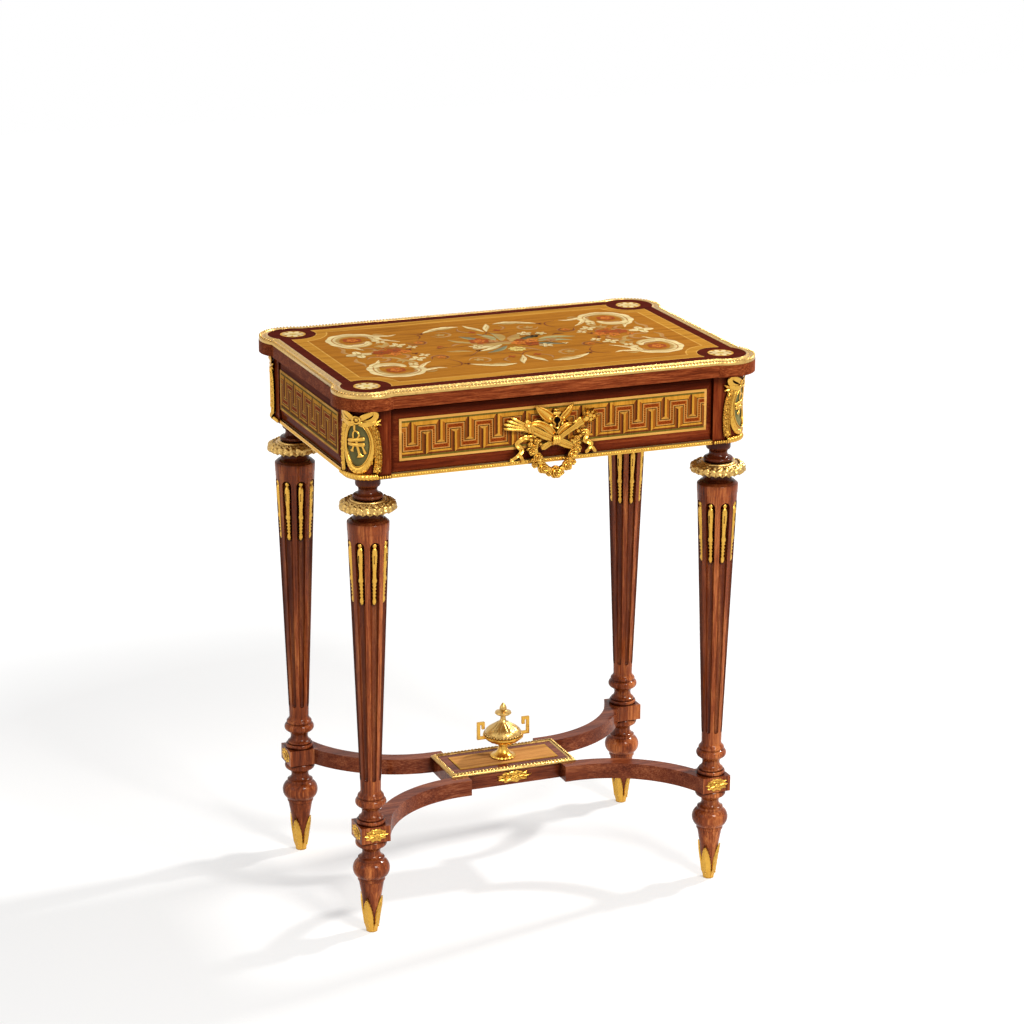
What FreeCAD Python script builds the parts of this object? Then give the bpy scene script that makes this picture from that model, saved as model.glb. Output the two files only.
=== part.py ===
"""A dressing table on four fluted legs, with a lifting top, a frieze drawer and an urn stretcher.

Lengths are millimetres. X runs to the right, Y to the back and Z up from the middle of the floor.
Every piece that stands at a corner is drawn for the back right corner and mirrored to the others.
"""
import FreeCAD, Part
import math
import os
from FreeCAD import Vector

# Whole table
table_height = 745.0
leg_spacing_x = 492.0
leg_spacing_y = 300.0
running_gap = 0.3
cut_overrun = 1.0

# Lifting top: a board with four round ears, a gilt rim moulding and a marquetry sheet
ear_radius = 46.0
top_side_overhang = 38.0
top_front_overhang = 40.5
band_height = 16.0
rim_height = 7.0
rim_width = 12.0
rim_fillet = 2.6
rim_groove_inset = 6.0
rim_groove_width = 3.0
rim_groove_depth = 2.4
rim_proud = 1.0
marquetry_thickness = 1.0
top_clearance = 0.5

# Looking glass under the top
mirror_width = 380.0
mirror_depth = 220.0
mirror_thickness = 4.0
mirror_frame_width = 12.0
mirror_frame_thickness = 2.0

# Frieze and its corner posts
frieze_height = 93.5
post_radius = 28.0
post_reach = 22.0
ring_projection = 5.0
ring_height = 9.0
bead_height = 5.5
bead_projection = 4.5
board_thickness = 6.0
panel_setback = 4.0
panel_thickness = 16.0
field_height = 55.0
field_bottom_rise = 16.0
field_end_border = 9.0
veneer_thickness = 0.8
rail_thickness = 4.0
rail_depth = 26.0

# Well under the top
well_floor_thickness = 4.0
well_wall_thickness = 6.0
well_divider_offset = 75.0
well_divider_drop = 10.0
well_cross_divider_place = 30.0

# Drawer
drawer_front_thickness = 17.0
drawer_gap = 1.5
drawer_head_gap = 1.0
drawer_foot_gap = 0.7
drawer_side_height = 30.0
drawer_side_thickness = 8.0
drawer_side_rise = 4.0
drawer_back_gap = 17.0
drawer_bottom_thickness = 4.0
drawer_bottom_rise = 3.0
drawer_guide_gap = 1.0
runner_width = 17.0

# Lock
keyhole_height_above_field = 34.0
keyhole_radius = 2.4
keyhole_slot_width = 2.6
keyhole_slot_length = 9.0
lock_case_width = 54.0
lock_case_height = 34.0
lock_case_thickness = 9.0
lock_back_cover = 1.5
bolt_width = 20.0
bolt_thickness = 4.0
bolt_length = 16.0
bolt_sink = 0.3
slot_margin = 1.5

# Butt hinges at the back
hinge_spacing = 300.0
hinge_length = 60.0
hinge_knuckle_radius = 3.2
hinge_pin_radius = 1.3
hinge_bore_clearance = 0.08
hinge_pin_setback = 4.0
hinge_pin_drop = 4.5
hinge_leaf_thickness = 2.0
hinge_case_leaf_height = 26.0
hinge_top_leaf_depth = 24.0
hinge_web_thickness = 3.0

# Legs
block_bottom = 132.0
block_height = 22.0
block_width = 40.4
foot_bulb_radius = 24.6
knop_radius = 20.6
knop_height = 46.0
column_foot_radius = 13.5
column_head_radius = 27.2
neck_height = 66.0
dowel_radius = 9.0
dowel_length = 24.0
dowel_clearance = 0.2

# Flutes and the gilt drops that fill their heads
flute_count = 8
flute_foot_radius = 3.2
flute_head_radius = 6.8
flute_foot_margin = 18.0
flute_head_margin = 24.0
drop_length = 81.0
drop_head_radius = 3.5
drop_foot_radius = 1.7
drop_bud_radius = 4.0
drop_seat_gap = 0.1

# Gilt leaf collars and leaf sabots
collar_radius = 36.6
collar_height = 19.0
collar_bottom_rise = 17.0
collar_lobe_count = 12
collar_notch_radius = 4.2
sabot_height = 53.0
sabot_wall = 1.6
sabot_notch_rise = 12.0

# Gilt oval mounts on the corner posts
mount_relief = 5.5
plaque_relief = 1.2
oval_width = 30.0
oval_height = 56.0
oval_frame_width = 5.0
mount_centre_rise = 46.6
swag_width = 9.0
swag_height = 64.0
swag_tilt = 4.0
bow_width = 46.0
bow_height = 17.0

# Stretcher
arm_width = 20.0
arm_bend_radius = 152.0
arm_end_place = 69.0
platform_length = 176.0
platform_depth = 80.0
platform_rim_projection = 3.0
platform_rim_width = 8.0
platform_rim_height = 4.0
platform_step_height = 2.6
platform_panel_length = 144.0
platform_panel_depth = 48.0
platform_panel_thickness = 0.8
platform_rim_rounding = 1.5

# Gilt florets
floret_width = 35.0
floret_height = 19.5
floret_relief = 3.2
platform_floret_width = 53.0
platform_floret_height = 18.0

# Urn
urn_rim_radius = 28.0
urn_body_height = 33.0
urn_lid_height = 46.0
urn_handle_reach = 10.5
urn_handle_height = 25.0
urn_handle_bar = 3.4

# Gilt trophy round the keyhole
trophy_span = 132.0
trophy_relief = 9.0

# Profiles, as shares of the size named beside each one. A row of two is a straight run to
# (radius, height), and a row of four is an arc through the first pair to the second.
foot_turning_shares = (
    (0.24, 0.03), (0.34, 0.091), (0.47, 0.273), (0.54, 0.394), (0.69, 0.553), (0.74, 0.561),
    (0.74, 0.591), (1.0, 0.689, 0.715, 0.78), (0.715, 0.803), (0.488, 0.856, 0.7, 0.92),
    (0.854, 0.962, 0.74, 1.0))
knop_turning_shares = (
    (0.88, 0.0), (0.942, 0.065, 0.88, 0.13), (0.78, 0.13), (0.8, 0.165, 0.78, 0.2),
    (0.583, 0.39, 0.78, 0.52), (1.0, 0.652, 0.82, 0.78), (0.85, 0.83, 0.8, 0.88))
head_turning_shares = (
    (0.93, 0.1, 0.64, 0.152), (0.615, 0.21), (0.607, 0.545), (0.73, 0.585, 0.607, 0.63),
    (0.452, 0.71, 0.58, 0.8), (0.607, 0.83), (0.607, 1.0))
collar_shares = (
    (0.46, 0.0), (0.66, 0.05), (0.92, 0.12, 1.0, 0.42), (0.9, 0.72, 0.7, 0.76),
    (0.76, 0.86, 0.68, 1.0), (0.46, 1.0))
urn_body_shares = (
    (0.6, 0.0), (0.64, 0.06, 0.6, 0.13), (0.48, 0.16), (0.27, 0.3, 0.21, 0.55),
    (0.27, 0.58), (0.27, 0.63), (0.8, 0.66, 0.93, 0.94), (1.0, 0.94), (1.0, 1.0))
urn_lid_shares = (
    (0.9, 0.0), (0.88, 0.25, 0.55, 0.4), (0.2, 0.5, 0.17, 0.62), (0.39, 0.66), (0.36, 0.74),
    (0.17, 0.76), (0.3, 0.88, 0.06, 1.0))

# The sabot's leaf edge: one point on it, as shares of the notch's half width and height.
leaf_edge_shares = (0.36, 0.58)

# Centres, half widths, half heights and tilts of the bow's loops, as shares of its width and height.
bow_loop_shares = ((0.27, 0.5, 0.25, 0.34, 24.0), (0.42, 0.14, 0.12, 0.3, -20.0))

# Greek-key handle, as shares of its reach and height: the middle line of its bent bar.
handle_shares = ((0.0, 0.0), (1.0, 0.0), (1.0, 0.96), (0.36, 0.96), (0.36, 0.62))

# Trophy places, as shares of its span, from the crossing: x, height, and radius where there is one.
keyhole_plate_shares = (0.0, 0.197, 0.075)
knob_shares = (0.0, 0.275, 0.034)
quiver_end_shares = ((-0.5, 0.19), (0.2, -0.1))
torch_end_shares = ((0.4, 0.24), (-0.16, -0.075))
wing_shares = ((-0.218, 0.33, 0.02), (-0.1, 0.19, 0.05), (0.0, 0.06, 0.03))
ribbon_shares = (
    ((-0.1, 0.02, 0.022), (-0.33, -0.02, 0.02), (-0.38, -0.12, 0.016), (-0.46, -0.165, 0.022)),
    ((-0.33, -0.02, 0.02), (-0.34, -0.18, 0.018)),
    ((0.1, 0.0, 0.022), (0.25, -0.04, 0.02), (0.32, -0.16, 0.018)),
    ((0.25, -0.04, 0.02), (0.41, -0.15, 0.02)))
garland_shares = (
    (-0.22, -0.02, 0.028), (-0.209, -0.134, 0.044), (-0.146, -0.268, 0.048), (-0.02, -0.325, 0.05),
    (0.11, -0.273, 0.048), (0.17, -0.152, 0.044), (0.19, -0.02, 0.028))

# Radii along the quiver and the torch: the place as a share of the length, the radius of the span.
quiver_radius_shares = ((0.0, 0.058), (0.7, 0.05), (1.0, 0.03))
torch_radius_shares = ((0.0, 0.062), (0.24, 0.036), (1.0, 0.028))

# A ribbon's width as a share of its round turns, and the height of each layer of the trophy.
ribbon_width_share = 0.72
thin_relief_share = 0.34
wing_relief_share = 0.52
garland_relief_share = 0.61

# Worked out from the sizes above
leg_x = leg_spacing_x / 2
leg_y = leg_spacing_y / 2
top_bottom = table_height - band_height - rim_height
case_top = top_bottom - top_clearance
case_bottom = case_top - frieze_height
rail_bottom = case_top - rail_thickness
post_inner_x = leg_x - post_reach
post_inner_y = leg_y - post_reach
field_bottom = case_bottom + field_bottom_rise + board_thickness
field_top = field_bottom + field_height
board_top = case_bottom + board_thickness
panel_outer_x = leg_x + post_radius - panel_setback
front_face = leg_y + post_radius - panel_setback
drawer_bottom = board_top + drawer_foot_gap
drawer_top = rail_bottom - drawer_head_gap
drawer_half_width = post_inner_x - drawer_gap
drawer_back_of_front = front_face - drawer_front_thickness
drawer_side_bottom = board_top + drawer_side_rise
drawer_side_top = drawer_side_bottom + drawer_side_height
drawer_side_outer = drawer_half_width - drawer_gap
well_floor_bottom = drawer_side_top + drawer_guide_gap
well_floor_top = well_floor_bottom + well_floor_thickness
back_outer = leg_y + post_radius
back_inner = back_outer - panel_thickness
well_front = front_face - rail_depth
block_top = block_bottom + block_height
column_bottom = block_top + knop_height
column_top = case_bottom - neck_height
column_height = column_top - column_bottom
platform_top = block_top + platform_step_height
pin_y = back_outer + hinge_pin_setback
pin_z = top_bottom - hinge_pin_drop
keyhole_z = field_bottom + keyhole_height_above_field
trophy_z = keyhole_z - keyhole_plate_shares[1] * trophy_span
key_face = leg_y + post_radius + veneer_thickness
lock_front = drawer_back_of_front + lock_case_thickness + lock_back_cover

pieces = {}


def box(x_range, y_range, z_range):
    """A block between two corners."""
    low = Vector(min(x_range), min(y_range), min(z_range))
    high = Vector(max(x_range), max(y_range), max(z_range))
    size = high - low
    return Part.makeBox(size.x, size.y, size.z, low)


def centred_box(half_x, half_y, z_range):
    """A block that is centred on the upright axis."""
    return box((-half_x, half_x), (-half_y, half_y), z_range)


def profile_edges(start, rows, radius, bottom, height):
    """Straight and curved edges of a turned profile, from rows of shares."""
    edges = []
    here = start
    for row in rows:
        there = Vector(row[-2] * radius, 0, bottom + row[-1] * height)
        if len(row) > 2:
            middle = Vector(row[0] * radius, 0, bottom + row[1] * height)
            edges.append(Part.Arc(here, middle, there).toShape())
        elif (there - here).Length > 0:
            edges.append(Part.LineSegment(here, there).toShape())
        here = there
    return edges, here


def closed_turning(edges, first, last):
    """A solid turned round the upright axis, from a profile that is closed along that axis."""
    low = Vector(0, 0, first.z)
    high = Vector(0, 0, last.z)
    loop = list(edges)
    if last.x > 0:
        loop.append(Part.LineSegment(last, high).toShape())
    loop.append(Part.LineSegment(high, low).toShape())
    loop.append(Part.LineSegment(low, first).toShape())
    face = Part.Face(Part.Wire(Part.__sortEdges__(loop)))
    return face.revolve(Vector(0, 0, 0), Vector(0, 0, 1), 360)


def turned(rows, radius, bottom, height):
    """A solid turned from one table of shares."""
    first = Vector(rows[0][0] * radius, 0, bottom + rows[0][1] * height)
    edges, last = profile_edges(first, rows[1:], radius, bottom, height)
    return closed_turning(edges, first, last)


def at_leg(shape):
    """A piece drawn on the upright axis, moved to the back right leg."""
    moved = shape.copy()
    moved.translate(Vector(leg_x, leg_y, 0))
    return moved


def four_corners(shape):
    """The back right piece and its three mirror images, by the name of their corner."""
    left = shape.mirror(Vector(0, 0, 0), Vector(1, 0, 0))
    front = shape.mirror(Vector(0, 0, 0), Vector(0, 1, 0))
    front_left = left.mirror(Vector(0, 0, 0), Vector(0, 1, 0))
    return {"back_right": shape, "back_left": left, "front_right": front, "front_left": front_left}


def both_sides(shape):
    """A piece and its mirror image across the middle of the table."""
    return [shape, shape.mirror(Vector(0, 0, 0), Vector(1, 0, 0))]


def front_and_back(shape):
    """A piece and its mirror image from front to back."""
    return [shape, shape.mirror(Vector(0, 0, 0), Vector(0, 1, 0))]


def upright_ellipse(half_width, half_height, centre_x, centre_z, tilt=0.0):
    """An ellipse drawn on the XZ plane, as a wire."""
    curve = Part.Ellipse(Vector(0, 0, 0), max(half_width, half_height), min(half_width, half_height))
    wire = Part.Wire(curve.toShape())
    wire.rotate(Vector(0, 0, 0), Vector(1, 0, 0), 90)
    if half_height > half_width:
        wire.rotate(Vector(0, 0, 0), Vector(0, 1, 0), 90)
    wire.rotate(Vector(0, 0, 0), Vector(0, 1, 0), -tilt)
    wire.translate(Vector(centre_x, 0, centre_z))
    return wire


# Legs

def column_radius(z):
    """Radius of the plain column before it is fluted."""
    return column_foot_radius + (column_head_radius - column_foot_radius) * (z - column_bottom) / column_height


def flute_radius(z):
    """Radius of the round bottom of a flute."""
    low = column_bottom + flute_foot_margin
    high = column_top - flute_head_margin
    return flute_foot_radius + (flute_head_radius - flute_foot_radius) * (z - low) / (high - low)


def flute_cutters():
    """Tapered cutters that follow the column's slope, with round ends."""
    low = column_bottom + flute_foot_margin
    high = column_top - flute_head_margin
    start = Vector(column_radius(low), 0, low)
    end = Vector(column_radius(high), 0, high)
    run = end - start
    cone = Part.makeCone(flute_foot_radius, flute_head_radius, run.Length, start, run)
    ends = [Part.makeSphere(flute_foot_radius, start), Part.makeSphere(flute_head_radius, end)]
    cutter = cone.fuse(ends)
    cutters = []
    for number in range(flute_count):
        turned_cutter = cutter.copy()
        turned_cutter.rotate(Vector(0, 0, 0), Vector(0, 0, 1), number * 360 / flute_count)
        cutters.append(turned_cutter)
    return cutters


def leg_foot():
    """The toupie foot below the block."""
    return turned(foot_turning_shares, foot_bulb_radius, 0, block_bottom)


def leg_block():
    """The square block that the stretcher arm meets."""
    half = block_width / 2
    return centred_box(half, half, (block_bottom, block_top))


def leg_shaft():
    """Knop, fluted column, neck and dowel above the block, in one turning."""
    first = Vector(knop_turning_shares[0][0] * knop_radius, 0, block_top)
    knop, here = profile_edges(first, knop_turning_shares[1:], knop_radius, block_top, knop_height)
    foot = Vector(column_foot_radius, 0, column_bottom)
    head = Vector(column_head_radius, 0, column_top)
    hollow = Vector((here.x + foot.x) / 2 - (here.x - foot.x) / 4, 0, (here.z + foot.z) / 2)
    column = [Part.Arc(here, hollow, foot).toShape(), Part.LineSegment(foot, head).toShape()]
    neck, last = profile_edges(head, head_turning_shares, column_head_radius, column_top, neck_height)
    shaft = closed_turning(knop + column + neck, first, last)
    return shaft.cut(flute_cutters())


def leg():
    """One whole leg, turned from one length of wood."""
    dowel = Part.makeCylinder(dowel_radius, dowel_length, Vector(0, 0, case_bottom))
    return at_leg(leg_foot().fuse([leg_block(), leg_shaft(), dowel]).removeSplitter())


def flute_drops():
    """The gilt drops in the flute heads of one leg, each a tapered stem with a ball on top."""
    high = column_top - flute_head_margin - drop_head_radius
    low = high - drop_length + drop_bud_radius
    places = []
    for z, radius in ((low, drop_foot_radius), (high, drop_head_radius)):
        floor = column_radius(z) - flute_radius(z)
        places.append(Vector(floor + radius + drop_seat_gap, 0, z))
    run = places[1] - places[0]
    stem = Part.makeCone(drop_foot_radius, drop_head_radius, run.Length, places[0], run)
    ball_place = places[1] + Vector(drop_bud_radius - drop_head_radius, 0, 0)
    drop = stem.fuse(Part.makeSphere(drop_bud_radius, ball_place))
    drops = []
    for number in range(flute_count):
        turned_drop = drop.copy()
        turned_drop.rotate(Vector(0, 0, 0), Vector(0, 0, 1), number * 360 / flute_count)
        drops.append(turned_drop)
    return at_leg(Part.makeCompound(drops))


def collar():
    """The gilt leaf collar round the neck, with a lobed edge."""
    bottom = column_top + collar_bottom_rise
    body = turned(collar_shares, collar_radius, bottom, collar_height)
    neck = head_turning_shares[1][0] * column_head_radius + running_gap
    bore = Part.makeCylinder(neck, collar_height + 2 * cut_overrun, Vector(0, 0, bottom - cut_overrun))
    notches = []
    for number in range(collar_lobe_count):
        angle = 2 * math.pi * (number + 0.5) / collar_lobe_count
        reach = collar_radius + collar_notch_radius / 2
        place = Vector(reach * math.cos(angle), reach * math.sin(angle), bottom - cut_overrun)
        notches.append(Part.makeCylinder(collar_notch_radius, collar_height + 2 * cut_overrun, place))
    return at_leg(body.cut([bore] + notches))


def sabot():
    """The gilt leaf cup round the foot: a floor, and four pointed leaves at the diagonals."""
    rows = [row for row in foot_turning_shares if row[-1] * block_bottom <= sabot_height]
    points = [Vector(row[0] * foot_bulb_radius, 0, row[1] * block_bottom) for row in rows]
    outer = [Vector(point.x + sabot_wall, 0, point.z) for point in points]
    outer[0] = Vector(outer[0].x, 0, 0)
    edges = [Part.LineSegment(a, b).toShape() for a, b in zip(outer, outer[1:])]
    cup = closed_turning(edges, outer[0], outer[-1]).cut(leg_foot())
    height = outer[-1].z
    half = outer[-1].x * math.sin(math.pi / 4)
    tall = height - sabot_notch_rise
    foot = Vector(0, 0, sabot_notch_rise)
    edge_x = leaf_edge_shares[0] * half
    edge_z = sabot_notch_rise + leaf_edge_shares[1] * tall
    right = Vector(half, 0, height)
    left = Vector(-half, 0, height)
    over = Vector(0, 0, cut_overrun)
    outline = Part.Wire([
        Part.Arc(foot, Vector(edge_x, 0, edge_z), right).toShape(),
        Part.LineSegment(right, right + over).toShape(),
        Part.LineSegment(right + over, left + over).toShape(),
        Part.LineSegment(left + over, left).toShape(),
        Part.Arc(left, Vector(-edge_x, 0, edge_z), foot).toShape()])
    notch = Part.Face(outline).extrude(Vector(0, foot_bulb_radius, 0))
    notches = []
    for number in range(4):
        turned_notch = notch.copy()
        turned_notch.rotate(Vector(0, 0, 0), Vector(0, 0, 1), number * 90)
        notches.append(turned_notch)
    return at_leg(cup.cut(notches))


def block_florets():
    """Two gilt oval florets on the outward faces of one block."""
    middle = (block_bottom + block_top) / 2
    floret = domed_oval(floret_width, floret_height, floret_relief)
    back = floret.copy()
    back.translate(Vector(leg_x, leg_y + block_width / 2, middle))
    side = floret.copy()
    side.rotate(Vector(0, 0, 0), Vector(0, 0, 1), -90)
    side.translate(Vector(leg_x + block_width / 2, leg_y, middle))
    return Part.makeCompound([back, side])


def domed_oval(width, height, relief):
    """A low oval boss on the plane y = 0 that rises toward +Y."""
    base = upright_ellipse(width / 2, height / 2, 0, 0)
    top = upright_ellipse(width / 4, height / 4, 0, 0)
    top.translate(Vector(0, relief, 0))
    return Part.makeLoft([base, top], True)


# Corner posts and their mounts

def post_outline(grow):
    """The post's plan, square inside and round outside, with the outer sides grown by a distance."""
    reach = -post_reach
    edge = post_radius + grow
    bend = edge * math.cos(math.pi / 4)
    corners = [Vector(reach, reach, 0), Vector(edge, reach, 0), Vector(edge, 0, 0)]
    edges = [Part.LineSegment(a, b).toShape() for a, b in zip(corners, corners[1:])]
    edges.append(Part.Arc(corners[2], Vector(bend, bend, 0), Vector(0, edge, 0)).toShape())
    edges.append(Part.LineSegment(Vector(0, edge, 0), Vector(reach, edge, 0)).toShape())
    edges.append(Part.LineSegment(Vector(reach, edge, 0), corners[0]).toShape())
    return Part.Face(Part.Wire(edges))


def post_body(grow, bottom, height):
    """The post's plan drawn up from a height."""
    body = post_outline(grow).extrude(Vector(0, 0, height))
    body.translate(Vector(0, 0, bottom))
    return body


def corner_post():
    """The rounded post that takes the leg's dowel and the panels of two sides."""
    bore = Part.makeCylinder(dowel_radius + dowel_clearance, dowel_length + cut_overrun,
                             Vector(0, 0, case_bottom - cut_overrun))
    return at_leg(post_body(0, case_bottom, frieze_height).cut(bore))


def half_round(start, projection, height):
    """A half-round moulding profile on the XZ plane, whose flat back is at x = start."""
    low = Vector(start, 0, case_bottom)
    high = low + Vector(0, 0, height)
    crown = low + Vector(projection, 0, height / 2)
    return Part.Face(Part.Wire([Part.Arc(low, crown, high).toShape(), Part.LineSegment(high, low).toShape()]))


def post_ring():
    """The gilt reeded ring at the foot of the post: a quarter turn with a straight run at each end."""
    profile = half_round(post_radius, ring_projection, ring_height)
    bend = profile.revolve(Vector(0, 0, 0), Vector(0, 0, 1), 90)
    side_run = profile.extrude(Vector(0, -post_reach, 0))
    back_run = side_run.mirror(Vector(0, 0, 0), Vector(0, 1, 0))
    back_run.rotate(Vector(0, 0, 0), Vector(0, 0, 1), 90)
    return at_leg(bend.fuse([side_run, back_run]).removeSplitter())


def post_skin(relief):
    """A skin of even thickness on the outside of the post, over its whole height."""
    return post_body(relief, case_bottom, frieze_height).cut(
        post_body(0, case_bottom - cut_overrun, frieze_height + 2 * cut_overrun))


def facing_prism(wire):
    """A shape drawn on the XZ plane, pushed outward through the post's round corner."""
    prism = Part.Face(wire).extrude(Vector(0, 2 * (post_radius + mount_relief), 0))
    prism.rotate(Vector(0, 0, 0), Vector(0, 0, 1), -45)
    return prism


def corner_plaque():
    """The olive oval plaque that lies inside the gilt frame."""
    centre = case_bottom + mount_centre_rise
    oval = facing_prism(upright_ellipse(oval_width / 2, oval_height / 2, 0, centre))
    return at_leg(post_skin(plaque_relief).common(oval))


def corner_mount():
    """Gilt oval frame, laurel drops and bow, bent round the post's corner."""
    centre = case_bottom + mount_centre_rise
    half_width = oval_width / 2
    half_height = oval_height / 2
    frame = facing_prism(upright_ellipse(half_width + oval_frame_width, half_height + oval_frame_width, 0, centre))
    shapes = [frame]
    swag_x = half_width + oval_frame_width + swag_width / 8
    for side in (-1, 1):
        swag = upright_ellipse(swag_width / 2, swag_height / 2, side * swag_x, centre - oval_frame_width,
                               -side * swag_tilt)
        shapes.append(facing_prism(swag))
        for x, z, wide, tall, tilt in bow_loop_shares:
            loop = upright_ellipse(wide * bow_width, tall * bow_height, side * x * bow_width,
                                   centre + half_height + z * bow_height, side * tilt)
            shapes.append(facing_prism(loop))
    outline = shapes[0].fuse(shapes[1:])
    opening = facing_prism(upright_ellipse(half_width, half_height, 0, centre))
    return at_leg(post_skin(mount_relief).common(outline.cut(opening)))


# Case

def between_posts(x_reach, y_front, y_back, z_range):
    """A level slab that fills the case between the posts and leaves their corners free."""
    long_part = box((-post_inner_x, post_inner_x), (y_front, y_back), z_range)
    wide_part = box((-x_reach, x_reach), (-post_inner_y, post_inner_y), z_range)
    return long_part.fuse(wide_part).removeSplitter()


def fielded_board(half_width, bottom, top, thickness):
    """A board on edge that faces +Y at y = 0, with a raised field inside a sloping border."""
    board = box((-half_width, half_width), (-thickness, 0), (bottom, top))
    half_field = half_width - field_end_border
    base = Part.makePolygon([Vector(-half_width, 0, bottom), Vector(half_width, 0, bottom),
                             Vector(half_width, 0, top), Vector(-half_width, 0, top),
                             Vector(-half_width, 0, bottom)])
    face = Part.makePolygon([Vector(-half_field, panel_setback, field_bottom),
                             Vector(half_field, panel_setback, field_bottom),
                             Vector(half_field, panel_setback, field_top),
                             Vector(-half_field, panel_setback, field_top),
                             Vector(-half_field, panel_setback, field_bottom)])
    return board.fuse(Part.makeLoft([base, face], True, True)).removeSplitter()


def key_sheet(half_width):
    """The inlaid sheet on the raised field of a board."""
    half_field = half_width - field_end_border
    return box((-half_field, half_field), (panel_setback, panel_setback + veneer_thickness),
               (field_bottom, field_top))


def to_right_side(shape):
    """A board that faces +Y, turned and moved to the right side of the case."""
    turned_shape = shape.copy()
    turned_shape.rotate(Vector(0, 0, 0), Vector(0, 0, 1), -90)
    turned_shape.translate(Vector(panel_outer_x, 0, 0))
    return turned_shape


def to_front(shape):
    """A board that faces +Y, turned and moved to the front of the case."""
    turned_shape = shape.copy()
    turned_shape.rotate(Vector(0, 0, 0), Vector(0, 0, 1), 180)
    turned_shape.translate(Vector(0, -front_face, 0))
    return turned_shape


def bead_strips():
    """Half-round bead strips below the frieze, at the front and on both sides."""
    side = half_round(panel_outer_x, bead_projection, bead_height).extrude(Vector(0, 2 * post_inner_y, 0))
    side.translate(Vector(0, -post_inner_y, 0))
    front = half_round(front_face, bead_projection, bead_height).extrude(Vector(0, 2 * post_inner_x, 0))
    front.translate(Vector(0, -post_inner_x, 0))
    front.rotate(Vector(0, 0, 0), Vector(0, 0, 1), -90)
    return Part.makeCompound([front] + both_sides(side))


def bottom_board():
    """The board that closes the case from below."""
    return between_posts(panel_outer_x, -front_face, back_outer, (case_bottom, board_top))


def front_rail():
    """The thin rail over the drawer, with the slot that the lock bolt enters."""
    rail = box((-post_inner_x, post_inner_x), (-front_face, -well_front), (rail_bottom, case_top))
    half_slot = bolt_width / 2 + slot_margin
    slot_y = -(lock_front - lock_case_thickness / 2)
    half_thick = bolt_thickness / 2 + slot_margin
    slot = box((-half_slot, half_slot), (slot_y - half_thick, slot_y + half_thick),
               (rail_bottom - cut_overrun, case_top + cut_overrun))
    return rail.cut(slot)


def case_panels():
    """Side panels with raised fields, and a plain back."""
    side = to_right_side(fielded_board(post_inner_y, board_top, case_top, panel_thickness))
    right, left = both_sides(side)
    pieces["side_panel_right"] = right
    pieces["side_panel_left"] = left
    sheet_right, sheet_left = both_sides(to_right_side(key_sheet(post_inner_y)))
    pieces["key_veneer_right"] = sheet_right
    pieces["key_veneer_left"] = sheet_left
    pieces["back_panel"] = box((-post_inner_x, post_inner_x), (back_inner, back_outer), (board_top, case_top))


def well():
    """The shallow well under the top: floor, front wall and dividers."""
    inner_x = panel_outer_x - panel_thickness
    pieces["well_floor"] = between_posts(inner_x, -well_front, back_inner, (well_floor_bottom, well_floor_top))
    pieces["well_front_wall"] = box((-post_inner_x, post_inner_x),
                                    (-well_front, -well_front + well_wall_thickness),
                                    (well_floor_top, case_top))
    half = well_wall_thickness / 2
    tops = (well_floor_top, case_top - well_divider_drop)
    wall_back = -well_front + well_wall_thickness
    long_divider = box((well_divider_offset - half, well_divider_offset + half), (wall_back, back_inner), tops)
    cross = box((well_divider_offset + half, inner_x),
                (well_cross_divider_place - half, well_cross_divider_place + half), tops)
    pieces["well_dividers"] = Part.makeCompound(both_sides(long_divider) + both_sides(cross))


def drawer_bearers():
    """Runners below the drawer sides, and guides beside them that carry the well floor."""
    runner_top = drawer_side_bottom - running_gap
    runner = box((drawer_side_outer - runner_width, drawer_side_outer), (-drawer_back_of_front, back_inner),
                 (board_top, runner_top))
    guide = box((drawer_side_outer + drawer_guide_gap, panel_outer_x - panel_thickness),
                (-post_inner_y, post_inner_y), (board_top, well_floor_bottom))
    return Part.makeCompound(both_sides(runner) + both_sides(guide))


# Drawer and lock

def keyhole_cutter():
    """A round hole with a slot below it, through the drawer front and what is fixed on it."""
    reach = drawer_front_thickness + panel_setback + trophy_relief + veneer_thickness
    start = -front_face + drawer_front_thickness - lock_back_cover - lock_case_thickness / 2
    hole = Part.makeCylinder(keyhole_radius, reach, Vector(0, start, keyhole_z), Vector(0, -1, 0))
    slot = box((-keyhole_slot_width / 2, keyhole_slot_width / 2), (start - reach, start),
               (keyhole_z - keyhole_slot_length, keyhole_z))
    return hole.fuse(slot)


def lock_pocket(gap):
    """The space in the back of the drawer front that the lock case fills."""
    half = lock_case_width / 2 + gap
    top = drawer_top - bolt_sink
    return box((-half, half), (-drawer_back_of_front, -lock_front), (top - lock_case_height - gap, top + gap))


def drawer_front():
    """The drawer front with its raised field, the lock pocket and the keyhole."""
    front = to_front(fielded_board(drawer_half_width, drawer_bottom, drawer_top, drawer_front_thickness))
    pocket = box((-lock_case_width / 2 - running_gap, lock_case_width / 2 + running_gap),
                 (-drawer_back_of_front + cut_overrun, -lock_front),
                 (drawer_top - bolt_sink - lock_case_height - running_gap, drawer_top + cut_overrun))
    return front.cut([pocket, keyhole_cutter()])


def bolt_space(gap):
    """The bolt at rest, grown by a gap on its four sides."""
    half = bolt_width / 2 + gap
    thick = bolt_thickness / 2 + gap
    middle = -(lock_front - lock_case_thickness / 2)
    top = drawer_top - bolt_sink
    return box((-half, half), (middle - thick, middle + thick), (top - bolt_length - gap, top))


def lock_case():
    """The lock's metal case, open at the top for the bolt and at the front for the key."""
    body = lock_pocket(0)
    channel = bolt_space(running_gap)
    way_out = channel.copy()
    way_out.translate(Vector(0, 0, cut_overrun))
    return body.cut([channel, way_out, keyhole_cutter()])


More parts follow.
